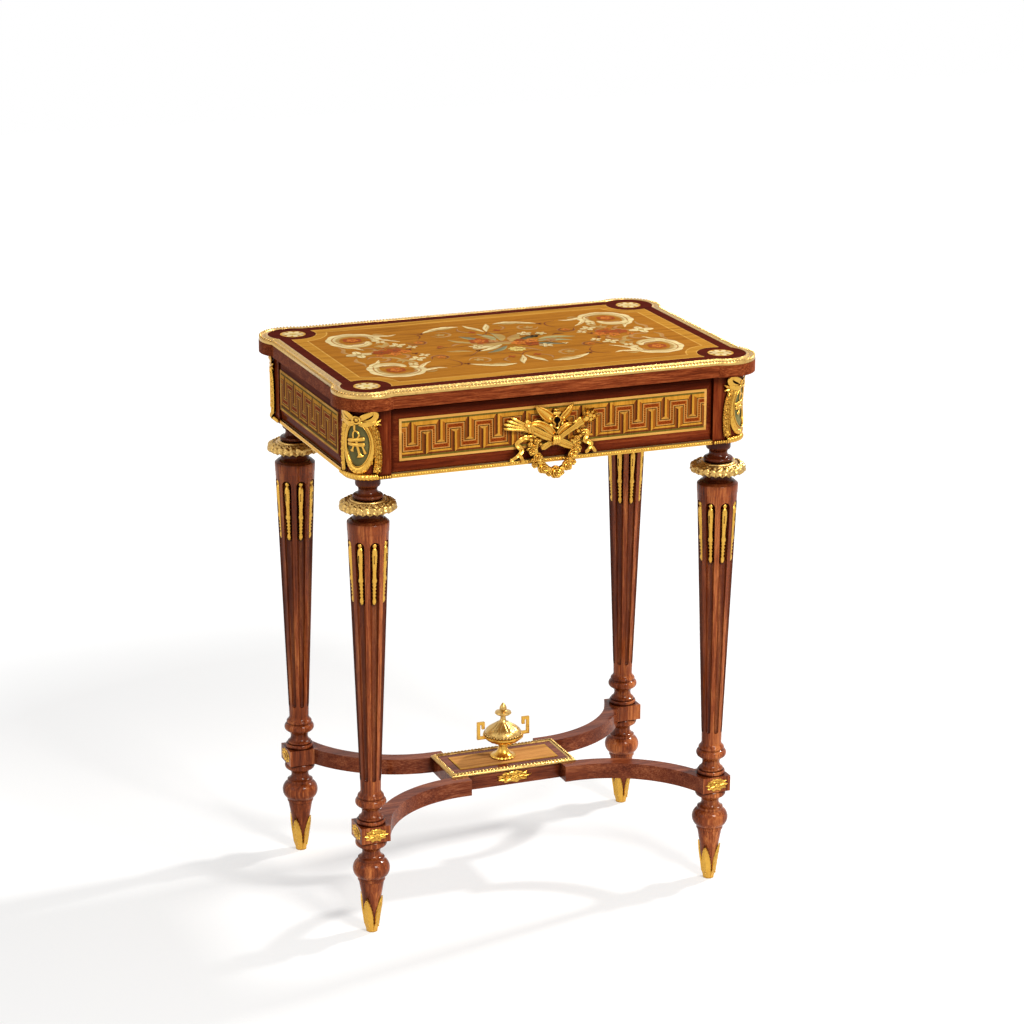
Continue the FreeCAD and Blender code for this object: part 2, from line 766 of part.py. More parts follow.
def drawer_box():
    """Sides, back and bottom of the drawer, behind its front."""
    inner = drawer_side_outer - drawer_side_thickness
    back_end = back_inner - drawer_back_gap
    side = box((inner, drawer_side_outer), (-drawer_back_of_front, back_end), (drawer_side_bottom, drawer_side_top))
    pieces["drawer_sides"] = Part.makeCompound(both_sides(side))
    pieces["drawer_back"] = box((-inner, inner), (back_end - drawer_side_thickness, back_end),
                                (drawer_side_bottom + drawer_bottom_rise, drawer_side_top))
    pieces["drawer_bottom"] = box((-inner, inner), (-drawer_back_of_front, back_end - drawer_side_thickness),
                                  (drawer_side_bottom + drawer_bottom_rise,
                                   drawer_side_bottom + drawer_bottom_rise + drawer_bottom_thickness))


def trophy_place(row):
    """A trophy place on the face of the key sheet."""
    return Vector(row[0] * trophy_span, -key_face, trophy_z + row[1] * trophy_span)


def relief_disc(row, relief):
    """A round boss on the face of the key sheet."""
    return Part.makeCylinder(row[2] * trophy_span, relief, trophy_place(row), Vector(0, -1, 0))


def relief_link(start_row, end_row, relief):
    """A flat bar of changing width between two places."""
    start = trophy_place(start_row)
    end = trophy_place(end_row)
    along = (end - start).normalize()
    across = Vector(-along.z, 0, along.x) * ribbon_width_share * trophy_span
    start_half = across * start_row[2]
    end_half = across * end_row[2]
    outline = Part.makePolygon([start + start_half, end + end_half, end - end_half, start - start_half,
                                start + start_half])
    return Part.Face(outline).extrude(Vector(0, -relief, 0))


def relief_chain(rows, relief):
    """A flat ribbon through a row of places, with a round turn at each."""
    turns = [relief_disc(row, relief) for row in rows]
    links = [relief_link(start_row, end_row, relief) for start_row, end_row in zip(rows, rows[1:])]
    return turns + links


def joined(shapes):
    """One body from shapes that touch or overlap."""
    return shapes[0].fuse(shapes[1:]).removeSplitter()


def relief_rod(end_shares, radius_shares):
    """A round rod of changing radius, whose axis lies on the face of the key sheet."""
    start = trophy_place(end_shares[0])
    run = trophy_place(end_shares[1]) - start
    lengths = []
    for (low, low_radius), (high, high_radius) in zip(radius_shares, radius_shares[1:]):
        lengths.append(Part.makeCone(low_radius * trophy_span, high_radius * trophy_span,
                                     run.Length * (high - low), start + run * low, run))
    return joined(lengths)


def keyhole_trophy():
    """Torch and quiver crossed under a winged keyhole plate, with ribbons and a rose garland."""
    thin = trophy_relief * thin_relief_share
    flat = [relief_disc(keyhole_plate_shares, thin)]
    for chain in ribbon_shares:
        flat.extend(relief_chain(chain, thin))
    other_wing = [(-x, z, radius) for x, z, radius in wing_shares]
    wing_relief = trophy_relief * wing_relief_share
    wings = relief_chain(wing_shares, wing_relief) + relief_chain(other_wing, wing_relief)
    garland = relief_chain(garland_shares, trophy_relief * garland_relief_share)
    reach = trophy_span
    behind = box((-reach, reach), (-key_face, -key_face + reach), (trophy_z - reach, trophy_z + reach))
    quiver = relief_rod(quiver_end_shares, quiver_radius_shares)
    rods = quiver.fuse(relief_rod(torch_end_shares, torch_radius_shares)).cut(behind)
    trophy = joined([joined(flat), joined(wings), joined(garland), relief_disc(knob_shares, trophy_relief), rods])
    return trophy.cut(keyhole_cutter())


# Lifting top

def top_outline(inset, bottom, height):
    """The top's plan, straight sides with a round ear over each leg, drawn up from a height."""
    half_x = leg_x + top_side_overhang - inset
    half_y = leg_y + top_front_overhang - inset
    slab = centred_box(half_x, half_y, (bottom, bottom + height))
    corners = box((leg_x, half_x + cut_overrun), (leg_y, half_y + cut_overrun),
                  (bottom - cut_overrun, bottom + height + cut_overrun))
    ear = Part.makeCylinder(ear_radius - inset, height, Vector(leg_x, leg_y, bottom))
    slab = slab.cut(list(four_corners(corners).values()))
    return slab.fuse(list(four_corners(ear).values())).removeSplitter()


def top_board():
    """The board of the top, with a step for the rim, and beds for the glass and the hinge leaves."""
    board = top_outline(0, top_bottom, band_height)
    step_height = rim_height - rim_proud - marquetry_thickness
    board = board.fuse(top_outline(rim_width, top_bottom + band_height, step_height)).removeSplitter()
    bed_x = mirror_width / 2 + mirror_frame_width
    bed_y = mirror_depth / 2 + mirror_frame_width
    depth = mirror_thickness + mirror_frame_thickness
    bed = centred_box(bed_x, bed_y, (top_bottom - cut_overrun, top_bottom + depth))
    leaf_bed = box((hinge_spacing / 2 - hinge_length / 2, hinge_spacing / 2 + hinge_length / 2),
                   (pin_y - hinge_top_leaf_depth, pin_y + hinge_web_thickness / 2),
                   (top_bottom - cut_overrun, top_bottom + hinge_leaf_thickness))
    return board.cut([bed] + both_sides(leaf_bed))


def rim_moulding():
    """The gilt moulding round the edge of the top: a rounded outside, a groove and a raised inner lip."""
    bottom = top_bottom + band_height
    groove_bottom = table_height - rim_groove_depth
    groove = top_outline(rim_groove_inset, groove_bottom, rim_groove_depth + cut_overrun).cut(
        top_outline(rim_groove_inset + rim_groove_width, groove_bottom - cut_overrun,
                    rim_groove_depth + 3 * cut_overrun))
    rim = top_outline(0, bottom, rim_height - rim_fillet)
    rim = rim.fuse(top_outline(rim_fillet / 2, bottom + rim_height - rim_fillet, rim_fillet / 2))
    rim = rim.fuse(top_outline(rim_fillet, bottom + rim_height - rim_fillet / 2, rim_fillet / 2))
    opening = top_outline(rim_width, bottom - cut_overrun, rim_height + 2 * cut_overrun)
    return rim.cut([groove, opening]).removeSplitter()


def marquetry_sheet():
    """The inlaid sheet inside the rim."""
    bottom = table_height - rim_proud - marquetry_thickness
    return top_outline(rim_width, bottom, marquetry_thickness)


def looking_glass():
    """The glass under the top and the frame that holds it."""
    bed_x = mirror_width / 2 + mirror_frame_width
    bed_y = mirror_depth / 2 + mirror_frame_width
    glass_bottom = top_bottom + mirror_frame_thickness
    pieces["mirror"] = centred_box(bed_x, bed_y, (glass_bottom, glass_bottom + mirror_thickness))
    frame = centred_box(bed_x, bed_y, (top_bottom, glass_bottom))
    view = centred_box(mirror_width / 2, mirror_depth / 2, (top_bottom - cut_overrun, glass_bottom + cut_overrun))
    pieces["mirror_frame"] = frame.cut(view)


def along_pin(x_start, length, radius):
    """A round bar on the hinge axis."""
    return Part.makeCylinder(radius, length, Vector(x_start, pin_y, pin_z), Vector(1, 0, 0))


def hinges():
    """Two butt hinges, each with two case knuckles, one top knuckle and a pin."""
    start = hinge_spacing / 2 - hinge_length / 2
    third = hinge_length / 3
    bore = along_pin(start - cut_overrun, hinge_length + 2 * cut_overrun, hinge_pin_radius + hinge_bore_clearance)
    leaf = box((start, start + hinge_length), (back_outer, back_outer + hinge_leaf_thickness),
               (pin_z - hinge_case_leaf_height, pin_z))
    room = box((start + third - running_gap, start + 2 * third + running_gap),
               (back_outer - cut_overrun, back_outer + hinge_leaf_thickness + cut_overrun),
               (pin_z - hinge_knuckle_radius - running_gap, pin_z + cut_overrun))
    case_leaf = leaf.cut(room).fuse([along_pin(start, third - running_gap, hinge_knuckle_radius),
                                     along_pin(start + 2 * third + running_gap, third - running_gap,
                                               hinge_knuckle_radius)]).cut(bore)
    plate = box((start, start + hinge_length), (pin_y - hinge_top_leaf_depth, pin_y + hinge_web_thickness / 2),
                (top_bottom, top_bottom + hinge_leaf_thickness))
    web = box((start + third, start + 2 * third), (pin_y - hinge_web_thickness / 2, pin_y + hinge_web_thickness / 2),
              (pin_z, top_bottom))
    top_leaf = plate.fuse([web, along_pin(start + third, third, hinge_knuckle_radius)]).cut(bore)
    pieces["hinge_case_leaves"] = Part.makeCompound(both_sides(case_leaf))
    pieces["hinge_top_leaves"] = Part.makeCompound(both_sides(top_leaf))
    pieces["hinge_pins"] = Part.makeCompound(both_sides(along_pin(start, hinge_length, hinge_pin_radius)))


# Stretcher and urn

def stretcher_arm():
    """A curved arm from the block to the long side of the platform, with a square end."""
    near = platform_depth / 2
    far = near + arm_width
    block_half = block_width / 2
    rise = leg_y + block_half - far
    bend_x = leg_x - block_half - math.sqrt(arm_bend_radius ** 2 - (arm_bend_radius - rise) ** 2)
    centre = Vector(bend_x, far + arm_bend_radius, block_bottom)
    ring = Part.makeCylinder(arm_bend_radius + arm_width, block_height, centre).cut(
        Part.makeCylinder(arm_bend_radius, block_height + 2 * cut_overrun, centre - Vector(0, 0, cut_overrun)))
    region = box((bend_x, leg_x), (near - cut_overrun, leg_y + block_half), (block_bottom, block_top))
    block = box((leg_x - block_half, leg_x + block_half), (leg_y - block_half, leg_y + block_half + cut_overrun),
                (block_bottom - cut_overrun, block_top + cut_overrun))
    straight = box((arm_end_place, bend_x), (near, far), (block_bottom, block_top))
    return ring.common(region).cut(block).fuse(straight).removeSplitter()


def platform():
    """The oblong platform, its gilt rim, inlaid panel and two florets."""
    half_x = platform_length / 2
    half_y = platform_depth / 2
    rim_x = half_x + platform_rim_projection
    rim_y = half_y + platform_rim_projection
    inner_x = rim_x - platform_rim_width
    inner_y = rim_y - platform_rim_width
    body = centred_box(half_x, half_y, (block_bottom, block_top))
    step = centred_box(inner_x, inner_y, (block_top, platform_top))
    pieces["platform"] = body.fuse(step).removeSplitter()
    rim = centred_box(rim_x, rim_y, (block_top, block_top + platform_rim_height))
    level = [edge for edge in rim.Edges
             if edge.BoundBox.ZLength < platform_rim_rounding and edge.CenterOfMass.z > block_top]
    rim = rim.makeFillet(platform_rim_rounding, level)
    hole = centred_box(inner_x, inner_y, (block_top - cut_overrun, block_top + 2 * platform_rim_height))
    pieces["platform_rim"] = rim.cut(hole)
    pieces["platform_panel"] = centred_box(platform_panel_length / 2, platform_panel_depth / 2,
                                           (platform_top, platform_top + platform_panel_thickness))
    floret = domed_oval(platform_floret_width, platform_floret_height, floret_relief)
    floret.translate(Vector(0, half_y, (block_bottom + block_top) / 2))
    pieces["platform_florets"] = Part.makeCompound(front_and_back(floret))


def urn():
    """The gilt urn: footed bowl, domed lid with finial, and two square handles."""
    foot = platform_top + platform_panel_thickness
    rim = foot + urn_body_height
    pieces["urn_body"] = turned(urn_body_shares, urn_rim_radius, foot, urn_body_height)
    pieces["urn_lid"] = turned(urn_lid_shares, urn_rim_radius, rim, urn_lid_height)
    half = urn_handle_bar / 2
    points = [Vector(urn_rim_radius + x * urn_handle_reach - half / 2, 0, rim - half + z * urn_handle_height)
              for x, z in handle_shares]
    bars = []
    for start, end in zip(points, points[1:]):
        bars.append(box((min(start.x, end.x) - half, max(start.x, end.x) + half), (-half, half),
                        (min(start.z, end.z) - half, max(start.z, end.z) + half)))
    bent = bars[0].fuse(bars[1:]).removeSplitter()
    bowl = turned(urn_body_shares, urn_rim_radius, foot, urn_body_height)
    pieces["urn_handles"] = Part.makeCompound(both_sides(bent.cut([bowl, pieces["urn_lid"]])))


def build():
    """Every piece of the table, by name."""
    for corner, shape in four_corners(leg()).items():
        pieces["leg_" + corner] = shape
    for corner, shape in four_corners(sabot()).items():
        pieces["sabot_" + corner] = shape
    for corner, shape in four_corners(corner_post()).items():
        pieces["post_" + corner] = shape
    for corner, shape in four_corners(corner_mount()).items():
        pieces["corner_mount_" + corner] = shape
    for corner, shape in four_corners(stretcher_arm()).items():
        pieces["stretcher_arm_" + corner] = shape
    groups = {"flute_drops": flute_drops(), "leaf_collars": collar(), "block_florets": block_florets(),
              "post_rings": post_ring(), "corner_plaques": corner_plaque()}
    for name, shape in groups.items():
        pieces[name] = Part.makeCompound(list(four_corners(shape).values()))
    case_panels()
    pieces["bottom_board"] = bottom_board()
    pieces["front_rail"] = front_rail()
    pieces["bead_strips"] = bead_strips()
    well()
    pieces["drawer_bearers"] = drawer_bearers()
    pieces["drawer_front"] = drawer_front()
    pieces["key_veneer_drawer"] = to_front(key_sheet(drawer_half_width)).cut(keyhole_cutter())
    pieces["lock_case"] = lock_case()
    pieces["lock_bolt"] = bolt_space(0)
    drawer_box()
    pieces["keyhole_trophy"] = keyhole_trophy()
    pieces["top_board"] = top_board()
    pieces["rim_moulding"] = rim_moulding()
    pieces["marquetry_sheet"] = marquetry_sheet()
    looking_glass()
    hinges()
    platform()
    urn()


build()
os.makedirs("parts", exist_ok=True)
for name, shape in pieces.items():
    shape.exportStep("parts/" + name + ".step")
    print(name, len(shape.Solids), "solids", "valid" if shape.isValid() else "NOT VALID")
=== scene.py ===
"""A dressing table in polished mahogany, with inlaid key and flower marquetry and gilt mounts.

The sections follow the table as it is put together: legs, case, drawer, top, stretcher, urn.
Lengths are metres. X runs to the right, Y to the back and Z up from the middle of the floor.
"""

import math

import bmesh
import bpy
from mathutils import Matrix, Vector


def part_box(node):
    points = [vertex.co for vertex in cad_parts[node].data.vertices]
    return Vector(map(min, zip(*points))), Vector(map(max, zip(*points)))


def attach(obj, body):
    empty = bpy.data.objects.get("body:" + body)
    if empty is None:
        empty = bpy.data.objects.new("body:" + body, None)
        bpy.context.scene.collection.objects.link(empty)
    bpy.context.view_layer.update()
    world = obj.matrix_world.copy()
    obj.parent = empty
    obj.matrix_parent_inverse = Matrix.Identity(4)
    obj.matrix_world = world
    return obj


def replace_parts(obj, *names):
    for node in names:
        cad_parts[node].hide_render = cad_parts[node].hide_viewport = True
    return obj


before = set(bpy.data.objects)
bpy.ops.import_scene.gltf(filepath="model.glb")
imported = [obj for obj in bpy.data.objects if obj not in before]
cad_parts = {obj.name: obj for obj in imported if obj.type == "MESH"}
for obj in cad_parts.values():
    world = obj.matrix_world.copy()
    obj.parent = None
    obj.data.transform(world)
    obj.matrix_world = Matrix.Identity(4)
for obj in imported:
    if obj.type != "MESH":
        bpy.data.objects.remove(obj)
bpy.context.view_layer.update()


# Studio
# A pale floor that keeps the table's shadow, a white surround, and broad soft lamps. The camera
# stands to the left of the table's front, a little above it.

focal_length = 111.09
sensor_width = 36.0
camera_place = Vector((-1.51483, -3.79420, 1.73344))
camera_yaw = math.radians(21.920)
camera_pitch = math.radians(16.669)
camera_roll = math.radians(0.238)
white = (1.0, 1.0, 1.0, 1.0)
floor_colour = (0.86, 0.86, 0.86, 1.0)
floor_half_width = 6.0
surround_strength = 0.42
floor_glow_share = 0.38
floor_glow = 1.2
shadow_reach = (0.95, 1.6)
lamp_target = Vector((0.0, 0.0, 0.4))
lamps = (
    ("key_lamp", (2.7, 0.45, 2.8), 0.3, 100.0, (1.0, 0.98, 0.95)),
    ("front_lamp", (0.7, -2.7, 2.7), 0.9, 92.0, (1.0, 0.97, 0.93)),
    ("left_lamp", (-2.8, -0.6, 1.6), 1.6, 10.0, (0.93, 0.96, 1.0)))


def add_node(tree, kind, inputs=(), **settings):
    """One shader node. An input is named or numbered, and takes a socket to link or a value."""
    made = tree.nodes.new("ShaderNode" + kind)
    for attribute, value in settings.items():
        setattr(made, attribute, value)
    for socket, value in dict(inputs).items():
        if isinstance(value, bpy.types.NodeSocket):
            tree.links.new(value, made.inputs[socket])
        else:
            made.inputs[socket].default_value = value
    return made


def combined(tree, operation, first, second, kind="Math"):
    """Two values or vectors brought together."""
    return add_node(tree, kind, {0: first, 1: second}, operation=operation).outputs[0]


def ramp(tree, value, low, high, to_low=0.0, to_high=1.0):
    """A value carried from one range to another."""
    return add_node(tree, "MapRange", {"Value": value, "From Min": low, "From Max": high,
                                       "To Min": to_low, "To Max": to_high}).outputs[0]


def new_material(name):
    """A material with an empty node tree, and the tree."""
    material = bpy.data.materials.new(name)
    material.use_nodes = True
    material.node_tree.nodes.clear()
    return material, material.node_tree


def show(thing, surface):
    """Puts a shader out on a material or a world."""
    add_node(thing.node_tree, "Output" + type(thing).__name__, {"Surface": surface.outputs[0]})
    return thing


def seen_white(tree):
    """A mask that is 1 where the camera, a reflection or a view through glass meets a surface."""
    rays = add_node(tree, "LightPath").outputs
    seen = combined(tree, "MAXIMUM", rays["Is Camera Ray"], rays["Is Glossy Ray"])
    return combined(tree, "MAXIMUM", seen, rays["Is Transmission Ray"])


def stand_camera():
    """The camera, from its place and its three turns."""
    data = bpy.data.cameras.new("camera")
    data.lens = focal_length
    data.sensor_width = sensor_width
    camera = bpy.data.objects.new("camera", data)
    camera.matrix_world = (Matrix.Translation(camera_place) @ Matrix.Rotation(-camera_yaw, 4, "Z")
                           @ Matrix.Rotation(math.pi / 2 - camera_pitch, 4, "X") @ Matrix.Rotation(camera_roll, 4, "Z"))
    bpy.context.scene.collection.objects.link(camera)
    bpy.context.scene.camera = camera


def hang_lamps():
    """Square area lamps that face the middle of the table."""
    for name, place, size, power, colour in lamps:
        data = bpy.data.lights.new(name, "AREA")
        data.size = size
        data.energy = power
        data.color = colour
        lamp = bpy.data.objects.new(name, data)
        aim = lamp_target - Vector(place)
        lamp.matrix_world = Matrix.Translation(place) @ aim.to_track_quat("-Z", "Y").to_matrix().to_4x4()
        bpy.context.scene.collection.objects.link(lamp)


def lay_floor():
    """A wide pale floor. Part of its colour is a white glow, so that only the shadows show."""
    bm = bmesh.new()
    bmesh.ops.create_grid(bm, x_segments=1, y_segments=1, size=floor_half_width)
    mesh = bpy.data.meshes.new("floor")
    bm.to_mesh(mesh)
    bm.free()
    floor = bpy.data.objects.new("floor", mesh)
    bpy.context.scene.collection.objects.link(floor)
    material, tree = new_material("pale_floor")
    matt = add_node(tree, "BsdfDiffuse", {"Color": floor_colour})
    glow = add_node(tree, "Emission", {"Color": white, "Strength": floor_glow})
    place = add_node(tree, "TexCoord").outputs["Object"]
    away = add_node(tree, "VectorMath", {0: place}, operation="LENGTH").outputs["Value"]
    share = combined(tree, "MULTIPLY", seen_white(tree), ramp(tree, away, *shadow_reach, floor_glow_share))
    mixed = add_node(tree, "MixShader", {0: share, 1: matt.outputs[0], 2: glow.outputs[0]})
    mesh.materials.append(show(material, mixed))


def light_surround():
    """A white world that lights the table softly."""
    world = bpy.data.worlds.new("surround")
    world.use_nodes = True
    tree = world.node_tree
    tree.nodes.clear()
    soft = add_node(tree, "Background", {"Color": white, "Strength": surround_strength})
    bright = add_node(tree, "Background", {"Color": white, "Strength": 1.0})
    show(world, add_node(tree, "MixShader", {0: seen_white(tree), 1: soft.outputs[0], 2: bright.outputs[0]}))
    bpy.context.scene.world = world


bpy.context.scene.view_settings.view_transform = "Standard"
stand_camera()
hang_lamps()
lay_floor()
light_surround()


# Legs
# Each leg is turned from one length of mahogany, with eight tapering flutes, and French polished.
# A square block is left between the turnings for the stretcher.

leg_tones = ((0.050, 0.007, 0.002, 1.0), (0.250, 0.053, 0.013, 1.0), (0.62, 0.20, 0.054, 1.0))
fibres_per_metre = 420.0
fibre_relief = 0.00004
column_head = 0.566
corners = ("front_left", "front_right", "back_left", "back_right")


def blend(tree, share, first, second):
    """A colour between two others."""
    return add_node(tree, "Mix", {0: share, 6: first, 7: second}, data_type="RGBA").outputs[2]


def noise(tree, place, scale, detail, **more):
    """The value of a noise at a place."""
    return add_node(tree, "TexNoise", {"Vector": place, "Scale": scale, "Detail": detail, **more}).outputs[0]


def wood_figure_group():
    """Polished wood: long fibres along Z, a slower figure, and short dark pores."""
    group = bpy.data.node_groups.new("wood_figure", "ShaderNodeTree")
    for way, kind, labels in (("INPUT", "Vector", ("Place",)), ("INPUT", "Color", ("Deep", "Middle", "Light")),
                              ("INPUT", "Float", ("Fibres", "Pores", "Figure")), ("OUTPUT", "Color", ("Color",)),
                              ("OUTPUT", "Float", ("Roughness", "Height"))):
        for label in labels:
            group.interface.new_socket(name=label, in_out=way, socket_type="NodeSocket" + kind)
    given = group.nodes.new("NodeGroupInput").outputs
    result = group.nodes.new("NodeGroupOutput").inputs
    long_place = combined(group, "MULTIPLY", given["Place"], (1.0, 1.0, 0.045), "VectorMath")
    short_place = combined(group, "MULTIPLY", given["Place"], (1.0, 1.0, 0.09), "VectorMath")
    slow, fine = [combined(group, "MULTIPLY", given["Fibres"], rate) for rate in (0.11, 3.1)]
    fibre = noise(group, long_place, given["Fibres"], 5.0, Roughness=0.62, Distortion=0.25)
    figure = noise(group, long_place, slow, 3.0, Roughness=0.5, Distortion=0.9)
    pore = ramp(group, noise(group, short_place, fine, 2.0), 0.56, 0.68)
    pore_share = combined(group, "MULTIPLY", pore, given["Pores"])
    shade = add_node(group, "Mix", {0: given["Figure"], 2: ramp(group, fibre, 0.32, 0.7),
                                    3: ramp(group, figure, 0.34, 0.66)}, data_type="FLOAT").outputs[0]
    dark_half = blend(group, ramp(group, shade, 0.0, 0.5), given["Deep"], given["Middle"])
    both = blend(group, ramp(group, shade, 0.5, 1.0), dark_half, given["Light"])
    group.links.new(blend(group, pore_share, both, given["Deep"]), result["Color"])
    group.links.new(ramp(group, fibre, 0.0, 1.0, 0.26, 0.42), result["Roughness"])
    group.links.new(combined(group, "SUBTRACT", fibre, pore_share), result["Height"])
    return group


wood_figure = wood_figure_group()
grain_turns = {"X": (0.0, math.pi / 2, 0.0), "Y": (math.pi / 2, 0.0, 0.0), "Z": (0.0, 0.0, 0.0)}


def figured(tree, grain, tones, fibres, pores, figure):
    """The wood group in a material, with its grain along one axis."""
    place = add_node(tree, "TexCoord").outputs["Object"]
    turned = add_node(tree, "Mapping", {"Vector": place, "Rotation": grain_turns[grain]}).outputs[0]
    return add_node(tree, "Group", {"Place": turned, **dict(zip(("Deep", "Middle", "Light"), tones)),
                                    "Fibres": fibres, "Pores": pores, "Figure": figure}, node_tree=wood_figure).outputs


def varnished(material, wood, colour, coat, coat_ior, relief, strength):
    """Wood under a thin coat of polish."""
    bump = add_node(material.node_tree, "Bump", {"Height": wood["Height"], "Distance": relief, "Strength": strength})
    return show(material, add_node(material.node_tree, "BsdfPrincipled", {
        "Base Color": colour, "Roughness": wood["Roughness"], "Normal": bump.outputs[0], "Specular IOR Level": 0.0,
        "Coat Weight": coat, "Coat Roughness": 0.12, "Coat IOR": coat_ior}))


def polished_wood(name, grain, tones, fibres=fibres_per_metre, pores=0.5, figure=0.5, coat=0.8, relief=fibre_relief,
                  painted_shade_above=9.0):
    """A polished wood whose grain runs along one axis. Painted shade darkens it in its hollows, and above a height."""
    material, tree = new_material(name)
    wood = figured(tree, grain, tones, fibres, pores, figure)
    # Painted shade: the wood goes toward its deepest tone in hollows and above the given height, where shade falls.
    painted_shade = add_node(tree, "AmbientOcclusion", {"Distance": 0.03}, samples=4).outputs["AO"]
    place = add_node(tree, "TexCoord").outputs["Object"]
    height = add_node(tree, "SeparateXYZ", {"Vector": place}).outputs["Z"]
    below = ramp(tree, height, painted_shade_above - 0.004, painted_shade_above + 0.012, 1.0, 0.42)
    unshaded_share = combined(tree, "MULTIPLY", ramp(tree, painted_shade, 0.5, 0.94), below)
    return varnished(material, wood, blend(tree, unshaded_share, tones[0], wood["Color"]), coat, 1.27, relief, 0.6)


def coat_nodes(material, *names):
    """Gives pieces of the frame their finish."""
    for name in names:
        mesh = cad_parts[name].data
        mesh.materials.clear()
        mesh.materials.append(material)


def at_corners(start):
    """The names of the four pieces that stand at the corners."""
    return [start + corner for corner in corners]


# The legs darken above the column head: painted shade on the necks under the case.
mahogany_upright = polished_wood("mahogany_upright", "Z", leg_tones, painted_shade_above=column_head)
coat_nodes(mahogany_upright, *at_corners("leg_"))


# Case
# Boards of mahogany between the posts, with a raised field on each show side, over an oak carcass.

case_tones = ((0.045, 0.005, 0.001, 1.0), (0.155, 0.023, 0.006, 1.0), (0.33, 0.072, 0.018, 1.0))
top_tones = (case_tones[0], (0.195, 0.037, 0.010, 1.0), (0.42, 0.115, 0.032, 1.0))
arm_tones = (leg_tones[0], (0.17, 0.036, 0.012, 1.0), (0.36, 0.115, 0.045, 1.0))
oak_tones = ((0.20, 0.11, 0.045, 1.0), (0.36, 0.22, 0.10, 1.0), (0.50, 0.33, 0.17, 1.0))
satinwood_tones = ((0.42, 0.19, 0.035, 1.0), (0.60, 0.30, 0.065, 1.0), (0.72, 0.42, 0.12, 1.0))
case_coat = 0.12

for name, grain, pieces in (("mahogany_across", "X", ("back_panel", "front_rail", "drawer_front")),
                            ("mahogany_along", "Y", ("side_panel_left", "side_panel_right")),
                            ("mahogany_posts", "Z", at_corners("post_"))):
    coat_nodes(polished_wood(name, grain, case_tones, coat=case_coat), *pieces)
coat_nodes(polished_wood("mahogany_top", "X", top_tones, 800.0, figure=0.25, coat=case_coat), "top_board")
coat_nodes(polished_wood("mahogany_arms", "X", arm_tones, 700.0, figure=0.35, coat=0.6),
           "platform", *at_corners("stretcher_arm_"))
coat_nodes(polished_wood("oak_lining", "X", oak_tones, 300.0, 0.7, coat=0.06),
           "bottom_board", "drawer_bearers", "drawer_sides", "drawer_back", "drawer_bottom")
coat_nodes(polished_wood("satinwood", "X", satinwood_tones, 260.0, 0.15, 0.6, 0.04),
           "well_floor", "well_front_wall", "well_dividers", "platform_panel", "marquetry_sheet",
           "key_veneer_drawer", "key_veneer_left", "key_veneer_right")


# Gilding
# Cast bronze, chased and fire-gilt. Painted shade darkens it in the hollows.

gilding_shade_colour = (0.115, 0.036, 0.004, 1.0)
chasing_relief = 0.0004


def gilt_metal(name, colour, roughness):
    """Gilding with a slight change of colour and of polish over the surface, and painted shade in its hollows."""
    material, tree = new_material(name)
    place = add_node(tree, "TexCoord").outputs["Object"]
    patch = noise(tree, place, 160.0, 4.0)
    deep = (0.74 * colour[0], 0.64 * colour[1], 0.52 * colour[2], 1.0)
    rough = ramp(tree, patch, 0.3, 0.7, roughness - 0.064, roughness + 0.096)
    grit = noise(tree, place, 520.0, 3.0)
    bump = add_node(tree, "Bump", {"Height": grit, "Distance": chasing_relief, "Strength": 0.55})
    # Painted shade: the colour goes dark brown in the hollows, where shade would fall.
    painted_shade = add_node(tree, "AmbientOcclusion", {"Distance": 0.0026}, samples=4).outputs["AO"]
    shaded = blend(tree, ramp(tree, painted_shade, 0.28, 0.84), gilding_shade_colour, blend(tree, patch, deep, colour))
    return show(material, add_node(tree, "BsdfPrincipled", {"Base Color": shaded, "Metallic": 1.0, "Roughness": rough,
                                                            "Normal": bump.outputs[0]}))


gilding = gilt_metal("gilding", (0.80, 0.47, 0.085, 1.0), 0.27)
pale_gilding = gilt_metal("pale_gilding", (0.68, 0.45, 0.15, 1.0), 0.30)
coat_nodes(gilding, "flute_drops", "leaf_collars", "block_florets", "post_rings", "bead_strips", "keyhole_trophy",
           "rim_moulding", "mirror_frame", "platform_rim", "platform_florets", "urn_body", "urn_lid", "urn_handles",
           *at_corners("sabot_"), *at_corners("corner_mount_"))


# Fittings
# The lock and the hinges are of lacquered brass with steel pins. The looking glass under the top is
# silvered plate, its coating a little worn.

silver_worn, silver_clean = (0.66, 0.69, 0.68, 1.0), (0.80, 0.82, 0.81, 1.0)


def silvered_plate():
    """A mirror with faint clouds in its silver."""
    material, tree = new_material("silvered_glass")
    cloud = noise(tree, add_node(tree, "TexCoord").outputs["Object"], 14.0, 3.0)
    return show(material, add_node(tree, "BsdfPrincipled", {"Base Color": blend(tree, cloud, silver_worn, silver_clean),
                                                            "Metallic": 1.0, "Roughness": 0.03}))


coat_nodes(gilt_metal("hinge_brass", (0.52, 0.36, 0.13, 1.0), 0.30),
           "lock_case", "hinge_case_leaves", "hinge_top_leaves")
coat_nodes(gilt_metal("pin_steel", (0.42, 0.40, 0.37, 1.0), 0.28), "lock_bolt", "hinge_pins")
coat_nodes(silvered_plate(), "mirror")


# Key veneers
# A running key of sawn veneers, framed by a boxwood line and set flush in the drawer front and in
# each side panel. Each strip is a different wood, scorched or dyed, and mitred to its neighbours.

